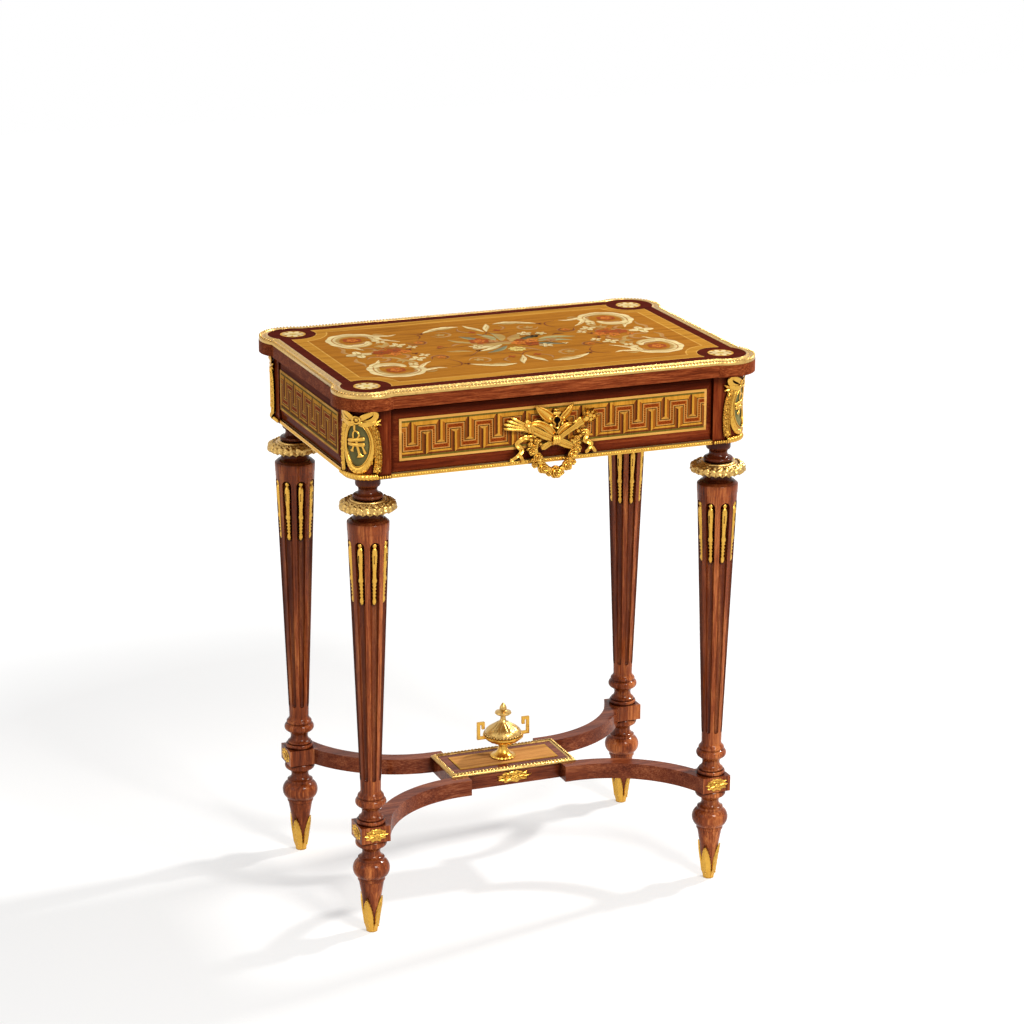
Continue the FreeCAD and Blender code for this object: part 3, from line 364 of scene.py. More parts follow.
key_half_height = 0.0218
key_band_edge = 0.0168
key_slot_end = 0.0077
key_slot_half = 0.0061
key_lift = 0.00006
key_line_width = 0.0033
key_field_half = 0.0275
drawer_key = (0.2135, -0.1964, 0.03897, 11)
side_key = (0.119, -0.0972, 0.03887, 6)
dash_shape = ((-0.0098, -0.0019), (0.0098, -0.0019), (0.0098, 0.0019), (-0.0098, 0.0019))
long_dot_shape = ((-0.0009, -0.0004), (0.0009, -0.0004), (0.0007, 0.0004), (-0.0009, 0.0003))
dot_shape = ((-0.0008, -0.0008), (0.0008, -0.0007), (0.0007, 0.0008), (-0.0007, 0.0007))
veneer_fibres = 900.0
veneer_range = ((0.52, 0.44, 0.40), (1.22, 1.26, 1.3))
both_sides = (-1, 1)
square = ((-1, -1), (1, -1), (1, 1), (-1, 1))
key_woods = {
    "boxwood": (0.56, 0.27, 0.030), "green_line": (0.125, 0.088, 0.014), "foot": (0.47, 0.22, 0.034),
    "yellow": (0.53, 0.235, 0.024), "tan": (0.29, 0.084, 0.009), "walnut": (0.135, 0.033, 0.007),
    "scorched": (0.020, 0.0035, 0.001), "cream": (0.50, 0.235, 0.058), "orange": (0.37, 0.113, 0.013),
    "red_dash": (0.24, 0.040, 0.004), "dot": (0.07, 0.012, 0.003), "line": (0.009, 0.003, 0.0015)}


def piece(name, bm, material, body, crease=40.0):
    """Turns a bmesh into a finished piece that rides on a body. Edges sharper than the crease stay sharp.
    Without a crease the piece is flat."""
    mesh = bpy.data.meshes.new(name)
    bm.to_mesh(mesh)
    bm.free()
    mesh.materials.append(material)
    if crease:
        mesh.shade_smooth()
        mesh.set_sharp_from_angle(angle=math.radians(crease))
    made = bpy.data.objects.new(name, mesh)
    bpy.context.scene.collection.objects.link(made)
    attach(made, body)
    return made


def tinted_veneer(name, coat, grain):
    """Flush veneers: the wood's own colour comes from the piece's tint, with fine fibres and pores."""
    material, tree = new_material(name)
    tint = add_node(tree, "Attribute", attribute_name="tint").outputs["Color"]
    dark, pale = [combined(tree, "MULTIPLY", tint, change, "VectorMath") for change in veneer_range]
    wood = figured(tree, grain, (dark, tint, pale), veneer_fibres, 0.35, 0.45)
    return varnished(material, wood, wood["Color"], coat, 1.5, fibre_relief, 0.5)


def tinted_mesh():
    """An empty mesh whose corners have a tint."""
    bm = bmesh.new()
    bm.verts.layers.float_color.new("tint")
    return bm


def flat_veneer(bm, corners_seen, wood, lift=key_lift, scorched_side=None):
    """One veneer, from its corners as seen from the front. Its right side may be scorched to a second colour."""
    tint = bm.verts.layers.float_color["tint"]
    face = bm.faces.new([bm.verts.new((x, -lift, z)) for x, z in corners_seen])
    middle = face.calc_center_median().x
    for corner in face.verts:
        corner[tint] = (*key_woods[scorched_side if scorched_side and corner.co.x > middle else wood], 1.0)
    return face


def key_slot(bm, centre, upright):
    """A slot of the key with its foot. It is open at the top where upright is 1, and below where it is -1."""
    top, end, half = key_half_height, -key_slot_end, key_slot_half
    left, ridge, right = -0.0031, -0.0006, 0.0024
    left_foot, ridge_foot, right_foot = (left, end + 0.0024), (ridge, end + 0.0036), (right, end + 0.0026)
    for wood, scorched_side, corners_seen in (
            ("tan", "walnut", ((-half, end), left_foot, (left, top), (-half, key_band_edge))),
            ("walnut", "scorched", (left_foot, ridge_foot, (ridge, top), (left, top))),
            ("yellow", None, (ridge_foot, right_foot, (right, top - 0.0024), (ridge, top))),
            ("tan", None, (right_foot, (half, end), (half, key_band_edge), (right, top - 0.0024))),
            ("foot", None, ((-half, end), (half, end), right_foot, ridge_foot, left_foot))):
        row = [(centre + x, upright * z) for x, z in corners_seen]
        flat_veneer(bm, row[::upright], wood, key_lift, scorched_side)


def key_bar(bm, start, end, upright):
    """The level strip between two slots, mitred to both. The lower strips are of two woods."""
    outer, inner = (start - 0.0005, end - 0.0031), (start + key_slot_half, end - key_slot_half)
    drop = key_half_height - key_band_edge
    for low, high, wood in ((0.0, 1.0, "yellow"),) if upright > 0 else ((0.0, 0.48, "walnut"), (0.48, 1.0, "yellow")):
        row = [(outer[side] + share * (inner[side] - outer[side]), upright * (key_half_height - share * drop))
               for side, share in ((0, low), (0, high), (1, high), (1, low))]
        flat_veneer(bm, row[::upright], wood)


def band_outline(slots, pitch, inset):
    """The outline of the winding band, cut round every slot and drawn in by an inset."""
    start, end, half = slots[0] - pitch, slots[-1] + pitch, key_slot_half + inset
    rows = []
    for side, centres in ((-1, [slot + pitch / 2 for slot in [start] + slots]), (1, slots[::-1])):
        line = [(start if side < 0 else end, side * (key_band_edge - inset))]
        for centre in centres:
            for x, z in ((-1, 1), (-1, 0), (1, 0), (1, 1)):
                line.append((centre - side * x * half, side * (key_band_edge - inset if z else -key_slot_end - inset)))
        rows += line + [(end if side < 0 else start, side * (key_band_edge - inset))]
    return rows


def key_band(bm, slots, pitch):
    """The winding band: a dark line, a cream line and an orange middle with red dashes and dark dots."""
    for step, (inset, wood) in enumerate(((0.0, "line"), (0.0010, "cream"), (0.0021, "orange"))):
        flat_veneer(bm, band_outline(slots, pitch, inset), wood, (1 + 0.2 * step) * key_lift)

    def inlay(x, z, shape, wood, layer):
        flat_veneer(bm, [(x + side, z + rise) for side, rise in shape], wood, layer * key_lift)
    middle = (key_band_edge + key_slot_end) / 2
    for centre in slots:
        for place, height in ((centre, -middle), (centre + pitch / 2, middle)):
            inlay(place, height, dash_shape, "red_dash", 1.6)
            for step in range(-3, 4):
                inlay(place + step * 0.0024, height + 0.0006 * (-1) ** step, long_dot_shape, "dot", 2)
        for side in both_sides:
            for step in range(-3, 4):
                inlay(centre + side * pitch / 4, step * 0.0030, dot_shape, "dot", 1.6)


def key_panel(name, layout, turn, face_place, body):
    """A whole framed key, trimmed to the field and set on its face.

    Its layout is the field's half width, the place of the first slot, the pitch and the number of slots."""
    half_width, first_slot, pitch, count = layout
    bm = tinted_mesh()
    slots = [first_slot + number * pitch for number in range(count)]
    for centre in slots:
        key_slot(bm, centre, 1)
        key_slot(bm, centre + pitch / 2, -1)
        key_bar(bm, centre, centre + pitch, 1)
        key_bar(bm, centre - pitch / 2, centre + pitch / 2, -1)
    key_slot(bm, slots[0] - pitch / 2, -1)
    key_bar(bm, slots[0] - pitch, slots[0], 1)
    key_bar(bm, slots[-1] + pitch / 2, slots[-1] + 1.5 * pitch, -1)
    key_band(bm, slots, pitch)
    inner = half_width - key_line_width
    for side in both_sides:
        bmesh.ops.bisect_plane(bm, geom=bm.verts[:] + bm.edges[:] + bm.faces[:], plane_co=(side * inner, 0, 0),
                               plane_no=(side, 0, 0), clear_outer=True)
    line_half = key_field_half - key_line_width
    for height in both_sides:
        low, high = sorted((height * key_half_height, height * line_half))
        flat_veneer(bm, ((-inner, low), (inner, low), (inner, high), (-inner, high)), "green_line")
    frame_face = flat_veneer(bm, [(x * half_width, z * key_field_half) for x, z in square], "boxwood")
    bmesh.ops.inset_individual(bm, faces=[frame_face], thickness=key_line_width, use_even_offset=True)
    bmesh.ops.delete(bm, geom=[frame_face], context="FACES")
    bmesh.ops.transform(bm, matrix=Matrix.Translation(face_place) @ Matrix.Rotation(turn, 4, "Z"), verts=bm.verts)
    piece(name, bm, key_veneers, body, 0.0)


key_veneers = tinted_veneer("key_veneers", 0.05, "Z")
field_middle = sum(corner[2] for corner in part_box("key_veneer_drawer")) / 2
drawer_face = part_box("key_veneer_drawer")[0][1]
key_panel("key_strips_drawer", drawer_key, 0.0, (0.0, drawer_face, field_middle), "drawer")
side_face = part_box("key_veneer_right")[1][0]
for name, side in (("left", -1), ("right", 1)):
    key_panel("key_strips_" + name, side_key, side * math.pi / 2, (side * side_face, 0.0, field_middle), "case")


# Leg mounts
# Gilt bronze on each leg: a leaf sabot round the foot, oval florets pinned on the outward sides of
# the block, a drop let into the head of each flute, and a collar of acanthus leaves on the neck.

leg_axis = (0.246, 0.150)
corner_sides = ((-1, -1), (1, -1), (-1, 1), (1, 1))
leg_places = [Matrix.Translation((x_side * leg_axis[0], y_side * leg_axis[1], 0.0)) for x_side, y_side in corner_sides]
column_low, column_high = (200.0, 13.5), (562.0, 27.2)
flute_low, flute_high = (218.0, 3.2), (538.0, 6.8)
sabot_rows = ((0.0, 7.4), (4.0, 7.6), (12.0, 10.0), (36.0, 13.2), (52.6, 15.0))
sabot_gap_bottom = 12.0
sabot_pins = ((8.5, 0.0010), (47.5, 0.0008))
drop_rows = (
    (544, 0), (543.4, 2), (542, 3), (540.2, 3.4), (538.4, 2.9), (537.2, 2.1), (535.8, 3.1), (533, 4), (528, 4.3),
    (516, 3.9), (504, 3.1), (497, 3.2), (494.6, 4.1), (491.4, 4.2), (489.6, 3), (487, 3.7), (484.6, 2.3), (482, 3.6),
    (479.6, 2.2), (477.2, 3.5), (475, 2.1), (472.6, 3.3), (470.4, 2), (467.6, 3.2), (464.2, 3.5), (461, 2.5),
    (458.6, 0))
drop_axis_low, drop_axis_high = (457.5, 1.7), (534.5, 3.5)
drop_pin_height = 0.5255
drop_pin_steps = ((0.0005, 0.0), (0.0001, -0.0014))
collar_rows = (
    (17.2, 597.2), (22, 597.6), (23.4, 596.8), (23.6, 595.4), (24.8, 595.6), (26.4, 594.8), (26.8, 593.6), (31, 591),
    (32.4, 588.4), (31, 585), (24, 583), (17.2, 582.6))
collar_leaf_path = ((25.6, 593.6), (29.6, 594.6), (33.4, 593), (36, 589.4), (35.8, 585.6), (34, 583.4))
collar_leaf_count = 12
head_rim_rows = (
    (26.6, 553), (27.3, 555), (27.5, 562), (27.5, 566.4), (27, 567.4), (25.6, 568.3), (22.6, 569.8), (19.8, 572.4),
    (18, 576.4), (17, 581.8), (16.2, 582))
block_floret_place = (0.0202, 0.143)
block_floret_size = (0.0175, 0.00975, 0.0034)
block_floret_leaves = 10
floret_leaf_rows = ((0.40, 0.60, 0.10, 1.5, 0.0), (0.18, 0.52, 0.50, 1.3, 0.5))
floret_heart_rise = 0.72


def between(low, high, place):
    """The value on the straight run between two rows of place and value."""
    return low[1] + (high[1] - low[1]) * (place - low[0]) / (high[0] - low[0])


def on_rows(rows, place):
    """The value on a run of rows of place and value."""
    pair = next(pair for pair in zip(rows, rows[1:]) if place <= pair[1][0] or pair[1] == rows[-1])
    return between(pair[0], pair[1], place)


def smooth_line(points, steps=5, closed=False):
    """More places along a line of points, on the curve that goes through them all."""
    first = points[-1] if closed else 2 * points[0] - points[1]
    ends = [points[0], points[1]] if closed else [2 * points[-1] - points[-2]]
    padded = [first] + list(points) + ends
    line = []
    for a, b, c, d in zip(padded, padded[1:], padded[2:], padded[3:]):
        for step in range(steps):
            t = step / steps
            line.append(0.5 * (2 * b + (c - a) * t + (2 * a - 5 * b + 4 * c - d) * t ** 2
                               + (3 * b - a - 3 * c + d) * t ** 3))
    return line + [line[0] if closed else points[-1]]


def bent(across, along, place):
    """A grid whose corners go to the places worked out from their two shares, welded where they meet."""
    part = bmesh.new()
    bmesh.ops.create_grid(part, x_segments=across, y_segments=along, size=0.5)
    for corner in part.verts:
        corner.co = place(corner.co.x + 0.5, corner.co.y + 0.5)
    bmesh.ops.remove_doubles(part, verts=part.verts, dist=0.000002)
    bmesh.ops.dissolve_degenerate(part, edges=part.edges, dist=0.000001)
    bmesh.ops.recalc_face_normals(part, faces=part.faces)
    return part


def kept(part):
    """Keeps a small shape, to be set in many places."""
    mesh = bpy.data.meshes.new("stamp")
    part.to_mesh(mesh)
    part.free()
    return mesh


def stamp(bm, mesh, matrix):
    """Sets a copy of a kept shape in its place."""
    copy = mesh.copy()
    copy.transform(matrix)
    bm.from_mesh(copy)
    bpy.data.meshes.remove(copy)


def merge(bm, part):
    """Adds a finished part to a larger piece."""
    stamp(bm, kept(part), Matrix.Identity(4))


def gilt(name, bm, node, crease=50.0, metal=gilding, body="case"):
    """A casting that stands in for a plain piece of the frame."""
    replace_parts(piece(name, bm, metal, body, crease), node)


def spun(share):
    """A turn about the Z axis by a share of a full turn."""
    return Matrix.Rotation(2 * math.pi * share, 4, "Z")


def sized(*sizes):
    """A change of size along the three axes."""
    return Matrix.Diagonal((*sizes, 1.0))


def around(radius, height, angle):
    """A place round the Z axis, from millimetres."""
    return Vector((radius * math.cos(angle), radius * math.sin(angle), height)) / 1000


def turned_part(rows, sides, reeds=0, depth=0.0):
    """A turning from rows of radius and height, with a reeded surface where reeds are asked for."""
    def place(u, v):
        radius, height = rows[round(v * (len(rows) - 1))]
        angle = 2 * math.pi * u
        return around(radius * (1.0 - depth * abs(math.sin(reeds * angle / 2))), height, angle)
    return bent(sides, len(rows) - 1, place)


def pip():
    """A small ball of radius 1."""
    part = bmesh.new()
    bmesh.ops.create_uvsphere(part, u_segments=8, v_segments=6, radius=1.0)
    return part


def bead(bm, place, radius, base=Matrix.Identity(4)):
    """A small ball in its place."""
    stamp(bm, ball, base @ Matrix.Translation(place) @ Matrix.Scale(radius, 4))


def leaf_shape(lobes, across, along, half_width=0.3, relief=0.16):
    """A pointed leaf of length 1 along X, with a sunk vein, raised halves and a notched edge."""
    def place(u, v):
        side = 2 * u - 1
        swell = math.sin(math.pi * v ** 0.75) ** 0.8 if 0 < v < 1 else 0.0
        notch = 1.0 - (0.3 * (1.0 - abs(math.sin(math.pi * lobes * v))) if lobes else 0.0)
        half = half_width * max(swell * notch, 0.04 if v == 0 else 0.0)
        height = relief * (math.sin(math.pi * (0.12 + 0.8 * v))) * (0.25 + 0.75 * math.sin(math.pi * abs(side) ** 0.7))
        return Vector((v, side * half, height if abs(side) < 1 else -0.05))
    return bent(across, along, place)


ball = kept(pip())
small_leaf = kept(leaf_shape(0, 4, 5))
notched_leaf = kept(leaf_shape(5, 6, 15, 0.34, 0.2))


def sabot_leaf(u, v):
    """One of the sabot's four leaves: a bead along the edge, a strong middle vein and slanting side veins."""
    side = 2 * u - 1
    height = sabot_rows[-1][0] * v
    rise = max(0.0, (height - sabot_gap_bottom) / (sabot_rows[-1][0] - sabot_gap_bottom))
    notch = 0.08 * abs(math.sin(8 * math.pi * rise)) if 0 < rise < 1 else 0.0
    reach = math.pi / 4 * max(0.0, 1.0 - rise ** 1.9 - notch)
    edge = abs(side)
    if edge > 0.99:
        relief = -1.5 if rise else -0.5
    elif edge > 0.8:
        relief = 0.55
    else:
        relief = 0.8 * math.exp(-(edge / 0.16) ** 2) + 0.3 * math.cos(9 * (rise - 0.5 * edge) * math.pi) - 0.1
    radius = on_rows(sabot_rows, height) + relief * min(1.0, 0.3 + 3.0 * v) + 1.0 * rise ** 6
    return around(radius, height, math.pi / 4 + side * reach)


def sabots():
    """A sabot for each leg: four leaves and a floor, with a pin head high and low between the leaves."""
    leaf = kept(bent(14, 26, sabot_leaf))
    for corner, middle in zip(corners, leg_places):
        bm = bmesh.new()
        for quarter in range(4):
            stamp(bm, leaf, middle @ spun(quarter / 4))
        for quarter in range(4):
            for rise, radius in sabot_pins:
                spot = around(on_rows(sabot_rows, rise) + 0.9, rise, math.pi / 4 + quarter * math.pi / 2)
                bead(bm, spot, radius, middle)
        bmesh.ops.create_circle(bm, cap_ends=True, radius=sabot_rows[0][1] / 1000, segments=32, matrix=middle)
        gilt("sabot_leaves_" + corner, bm, "sabot_" + corner)


def drop_in_flute(u, v):
    """A drop in the flute on the +X side: a ball, a tapering bud, a ring and a string of berries."""
    height, radius = drop_rows[round(v * (len(drop_rows) - 1))]
    floor = between(column_low, column_high, height) - between(flute_low, flute_high, height)
    axis = floor + 0.1 + between(drop_axis_low, drop_axis_high, height)
    angle = 2 * math.pi * u
    return Vector((axis + radius * math.cos(angle), radius * math.sin(angle), height)) / 1000


def all_flute_drops():
    """Eight drops on each leg, each with the hole of its pin."""
    part = bent(10, len(drop_rows) - 1, drop_in_flute)
    middles = [(one.calc_center_median(), one) for one in part.faces]
    face = max(middles, key=lambda pair: pair[0].x - 0.4 * abs(pair[0].z - drop_pin_height) - abs(pair[0].y))[1]
    for inset, depth in drop_pin_steps:
        bmesh.ops.inset_individual(part, faces=[face], thickness=inset, depth=depth, use_even_offset=True)
    drop = kept(part)
    bm = bmesh.new()
    for middle in leg_places:
        for number in range(8):
            stamp(bm, drop, middle @ spun(number / 8))
    gilt("chandelles", bm, "flute_drops", 60.0)


def collar_leaf(u, v):
    """A drooping leaf of the collar, from the ring out and down to its tip."""
    side = 2 * u - 1
    line = smooth_line([Vector(row) for row in collar_leaf_path], 3)
    step = round(v * (len(line) - 1))
    here = line[step]
    way = (line[min(step + 1, len(line) - 1)] - line[max(step - 1, 0)]).normalized()
    out = Vector((-way.y, way.x))
    swell = 0.82 + 0.3 * math.sin(math.pi * v) if v < 0.6 else 1.1 * math.cos(math.pi / 2 * ((v - 0.6) / 0.4) ** 1.5)
    notch = 1.0 - 0.36 * (1.0 - abs(math.sin(3.5 * math.pi * v)))
    half = math.pi / collar_leaf_count * max(0.0, swell) * notch
    relief = 1.7 * math.sin(math.pi * abs(side) ** 0.7) + 0.8 * math.cos(7 * math.pi * v + 4 * abs(side)) - 0.5
    relief = -0.9 if abs(side) > 0.99 else relief
    spot = here + out * relief
    return around(spot.x, spot.y, side * half)


def leaf_collars_made():
    """The four collars: a plain ring with two rows of leaves that droop from it."""
    ring = kept(turned_part(collar_rows, 48))
    leaf = kept(bent(8, 15, collar_leaf))
    bm = bmesh.new()
    for middle in leg_places:
        stamp(bm, ring, middle)
        for number in range(2 * collar_leaf_count):
            turn = middle @ spun(0.5 * number / collar_leaf_count)
            if number % 2:
                turn = turn @ Matrix.Translation((0.0, 0.0, -0.0004)) @ sized(0.965, 0.965, 1.0)
            stamp(bm, leaf, turn)
    gilt("acanthus_collars", bm, "leaf_collars", 55.0, pale_gilding)


def floret(half_x, half_y, relief, leaves):
    """An oval floret on the XY plane: two rows of pointed leaves over a mound, and a heart of berries."""
    bm = bmesh.new()
    shape = sized(half_x, half_y, relief)
    stamp(bm, ball, shape @ sized(0.84, 0.84, 0.45))
    for start, length, rise, wide, shift in floret_leaf_rows:
        for number in range(leaves):
            stamp(bm, small_leaf, shape @ spun((number + shift) / leaves) @ Matrix.Translation((start, 0.0, rise))
                  @ sized(length, wide * 4.4 / leaves, 1.5))
    for number in range(6):
        berry = Matrix.Translation((0.17, 0.0, floret_heart_rise)) @ sized(0.10, 0.13, 0.24)
        stamp(bm, ball, shape @ spun(number / 6) @ berry)
    stamp(bm, ball, shape @ Matrix.Translation((0.0, 0.0, floret_heart_rise)) @ sized(0.11, 0.14, 0.28))
    return kept(bm)


def block_rosettes():
    """Florets on the two outward sides of each block."""
    oval_floret = floret(*block_floret_size, block_floret_leaves)
    bm = bmesh.new()
    half, height = block_floret_place
    up = Vector((0.0, 0.0, 1.0))
    for (x_side, y_side), middle in zip(corner_sides, leg_places):
        for way in (Vector((x_side, 0.0, 0.0)), Vector((0.0, y_side, 0.0))):
            turn = Matrix((up.cross(way), up, way)).transposed().to_4x4()
            stamp(bm, oval_floret, middle @ Matrix.Translation(height * up + half * way) @ turn)
    gilt("block_rosettes", bm, "block_florets")


def leg_rims():
    """The sharp rim and cove turned on the head of each column, under the neck."""
    bm = bmesh.new()
    rim_of_head = kept(turned_part(head_rim_rows, 72))
    for middle in leg_places:
        stamp(bm, rim_of_head, middle)
    piece("leg_rims", bm, mahogany_upright, "case")


sabots()
all_flute_drops()
leaf_collars_made()
block_rosettes()
leg_rims()


# Case mounts
# Gilt bronze pinned to the frieze: a strip of beads below each panel, a reeded ring under each post,
# and on the post an oval frame with a bow and laurel swags round an olive enamel plaque.

enamel_tones = ((0.105, 0.090, 0.030, 1.0), (0.150, 0.135, 0.050, 1.0), (0.190, 0.175, 0.075, 1.0))
post_radius = 0.028
post_bend = post_radius / math.sqrt(2)
ring_middle, ring_reach, ring_half = 632.5, 5.0, 4.5
reeded_run, reed_pitch = 0.0245, 4.4
tail_bead_count, tail_bead_pitch, tail_bead_size = 6, 3.1, (1.7, 2.8, 2.6)
bead_pitch, bead_radius = 0.0036, 0.0020
bead_inset, bead_rise = 0.0022, 0.0030
bead_run_front, bead_run_side = 0.2235, 0.1275
bead_strip_width, bead_strip_height = 0.0022, 0.0052
plaque_middle = 674.6
bow_middle = 707.4
round_section = [(math.cos(math.pi * step / 4), math.sin(math.pi * step / 4)) for step in range(8)]
ribbon_section = ((-1, -0.6), (-1, 0.5), (-0.7, 1), (0, 0.35), (0.7, 1), (1, 0.5), (1, -0.6), (0, -1))
frame_ovals = ((17.4, 30.6, 1.4, 2.2, 2.6, 6.0), (15.2, 28.2, 2.6, 0.8, 1.6, 0.0))
fan_leaf_count, fan_reach, fan_lift = 11, (19.2, 32.4), 3.2
bow_ring_radius, bow_ring_lift, bow_ring_bar = 4.6, 4.2, 1.3
bow_heart_size, bow_button_place, bow_button_size = (3.6, 3.6, 2.2), (5.0, 703.5, 3.0), (3.2, 3.0, 2.4)
swag_bud = ((0.0, 0.6, 3.0), (-1.8, -2.6, 1.9), (1.8, -2.4, 1.9), (0.0, -5.2, 1.5))
swag_path = ((16.6, 703), (19.8, 693), (21.6, 680), (22.4, 667), (22.4, 654), (21.4, 643))
bow_ribbons = (
    ((2, 706, 2.4, 2.4, 1.1), (7, 710.5, 3.8, 3.2, 1.1), (13, 714.5, 4.6, 3, 1.1), (18, 717.5, 4.4, 2.4, 1.1),
     (20.4, 713.5, 4, 2.4, 1.1), (18, 708, 3.2, 2.8, 1.1), (12.5, 704.5, 2.6, 3, 1.1), (4, 704.5, 2, 2.2, 1.1)),
    ((3, 702.6, 2.8, 2.4, 1.1), (9, 701.6, 3.8, 3.2, 1.1), (15, 703, 3.2, 3, 1.1), (20.5, 703.6, 3.4, 2.6, 1.1)),
    ((19.6, 704.4, 3.2, 1.6, 1), (22.6, 705.6, 3.4, 1.6, 1), (25.6, 708, 2.8, 0.4, 0.5)),
    ((19.6, 703, 3.2, 1.6, 1), (22.6, 701.8, 3.4, 1.6, 1), (25.6, 700.2, 2.8, 0.4, 0.5)))
emblem_parts = (
    ((-12.6, 678.6, 2, 1, 0.8), (-11.6, 679, 2.2, 2.9, 1.5), (-2, 681, 2.6, 2.5, 1.7), (8, 683, 2.2, 2.8, 1.5),
     (9.6, 683.4, 2, 1.4, 0.8)),
    ((-12.4, 674.6, 2, 1, 0.8), (-11.4, 674.6, 2.2, 2.6, 1.5), (-2, 674.8, 2.8, 2.4, 1.7), (8, 675.4, 2.2, 2.8, 1.5),
     (9.4, 675.6, 2, 1.4, 0.8)),
    ((-0.6, 680, 2.6, 1.5, 1.2), (1.4, 671, 3, 1.5, 1.2), (3.2, 663, 2.6, 1.7, 1.4), (4, 660.4, 2.4, 4, 1.8),
     (4.3, 659, 2.2, 4.2, 1.4), (4.5, 658.2, 2, 2, 0.6)),
    ((-4.4, 673, 2.4, 1.2, 1), (-6, 668.6, 2.4, 1.3, 1), (-7, 666.4, 2.2, 2.8, 1.2), (-7.4, 665, 2, 1.4, 0.6)),
    ((6.2, 674, 2.4, 1.1, 1), (8.4, 668, 2.2, 1.2, 1), (9.6, 664, 2, 2, 1), (10, 663, 1.8, 0.8, 0.5)),
    ((-3.4, 704, 2.2, 1.2, 0.8), (-3.6, 698, 2, 1.6, 0.8), (-3.2, 693.4, 2.2, 1.2, 0.8)),
    ((-3.4, 693, 2.4, 1, 0.8), (-5.2, 688, 2.6, 1.1, 0.8), (-4.4, 683, 2.8, 1, 0.8)),
    ((-3, 693, 2.4, 1, 0.8), (0.6, 692, 2.6, 1.1, 0.8), (3, 687.5, 2.8, 1.1, 0.8), (0.4, 683, 2.8, 1, 0.8)))


def on_post(x_side, y_side, facing=False):
    """Places on one post from a width, a height and a lift: round at the corner, flat beyond.

    The width runs round the post, or lies as seen square on to the corner."""
    axis = Vector((x_side * leg_axis[0], y_side * leg_axis[1], 0.0))
    out = Vector((x_side, y_side, 0.0)).normalized()
    right = Vector((-out.y, out.x, 0.0))

    def place(width, height, lift):
        if facing:
            inner = max(-post_bend, min(post_bend, width))
            width = post_radius * math.asin(inner / post_radius) + (width - inner) * math.sqrt(2)
        angle = max(-math.pi / 4, min(math.pi / 4, width / post_radius))
        flat = width - angle * post_radius
        face, along = [out * math.cos(turn) + right * math.sin(turn) for turn in (angle, angle + math.pi / 2)]
        return axis + face * (post_radius + lift) + along * flat + Vector((0.0, 0.0, height))
    return place


def sweep(bm, rows, section, onto, steps=3, closed=False):
    """A shape drawn along rows of width, height, lift, half width and half thickness in millimetres."""
    line = smooth_line([Vector(row) / 1000 for row in rows], steps, closed)
    last, count = len(line) - 1, len(section)

    def place(u, v):
        step = round(v * last)
        here = line[step]
        before = line[step - 1] if step else (line[-2] if closed else here)
        after = line[step + 1] if step < last else (line[1] if closed else here)
        way = Vector((after[0] - before[0], after[1] - before[1])).normalized()
        a, b = section[round(u * count) % count]
        return onto(here[0] + way.y * a * here[3], here[1] - way.x * a * here[3], here[2] + b * here[4])
    part = bent(count, last, place)
    bmesh.ops.holes_fill(part, edges=part.edges, sides=0)
    bmesh.ops.recalc_face_normals(part, faces=part.faces)
    merge(bm, part)


def set_on(bm, mesh, onto, place, turn, sizes, tilt=0.0):
    """Sets a kept shape on a surface. Its place and sizes are millimetres, its turn and tilt degrees."""
    width, height, lift = [part / 1000 for part in place]
    step = 0.0001
    right = (onto(width + step, height, lift) - onto(width - step, height, lift)).normalized()
    up = (onto(width, height + step, lift) - onto(width, height - step, lift)).normalized()
    basis = Matrix((right, up, right.cross(up))).transposed().to_4x4()
    spin = Matrix.Rotation(math.radians(turn), 4, "Z") @ Matrix.Rotation(math.radians(tilt), 4, "Y")
    size = Matrix.Diagonal((*[part / 1000 for part in sizes], 1.0))
    stamp(bm, mesh, Matrix.Translation(onto(width, height, lift)) @ basis @ spin @ size)


def berries(bm, onto, rows, lift):
    """Round balls from rows of width, height and radius."""
    for x, z, size in rows:
        set_on(bm, ball, onto, (x, z, lift), 0.0, (size, size, size))


def bead_rows():
    """Beads along the foot of the front and of both sides, on a thin strip."""
    low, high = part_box("bead_strips")
    middle = low[2] + bead_rise
    front, left, right = low[1] + bead_inset, low[0] + bead_inset, high[0] - bead_inset
    bm = bmesh.new()
    for start, end in (((-bead_run_front, front), (bead_run_front, front)),
                       ((left, -bead_run_side), (left, bead_run_side)),
                       ((right, -bead_run_side), (right, bead_run_side))):
        first, last = Vector((*start, middle)), Vector((*end, middle))
        count = round((last - first).length / bead_pitch)
        for number in range(count):
            bead(bm, first.lerp(last, (number + 0.5) / count), bead_radius)
        span = last - first
        size = sized(span.x + bead_strip_width, span.y + bead_strip_width, bead_strip_height)
        bmesh.ops.create_cube(bm, size=1.0, matrix=Matrix.Translation((first + last) / 2) @ size)
    gilt("bead_rows", bm, "bead_strips")


def reeded_rings():
    """The ring under each post, with slanting reeds round the corner and beads on its two tails."""
    bm = bmesh.new()
    for x_side, y_side in corner_sides:
        onto = on_post(x_side, y_side)

        def place(u, v):
            run = (2 * u - 1) * reeded_run
            angle = math.pi * (v - 0.5)
            reed = 0.30 * abs(math.sin(math.pi * (1000 * run / reed_pitch + 0.9 * (v - 0.5))))
            reach = ring_reach * math.cos(angle) * (0.72 + reed) if 0 < v < 1 else -0.2
            return onto(run, (ring_middle + ring_half * math.sin(angle)) / 1000, reach / 1000)
        merge(bm, bent(96, 8, place))
        for side in both_sides:
            for number in range(tail_bead_count):
                run = side * (1000 * reeded_run + 1.2 + tail_bead_pitch * number)
                set_on(bm, ball, onto, (run, ring_middle - 1.4, 1.4), 0.0, tail_bead_size)
    gilt("reeded_rings", bm, "post_rings")


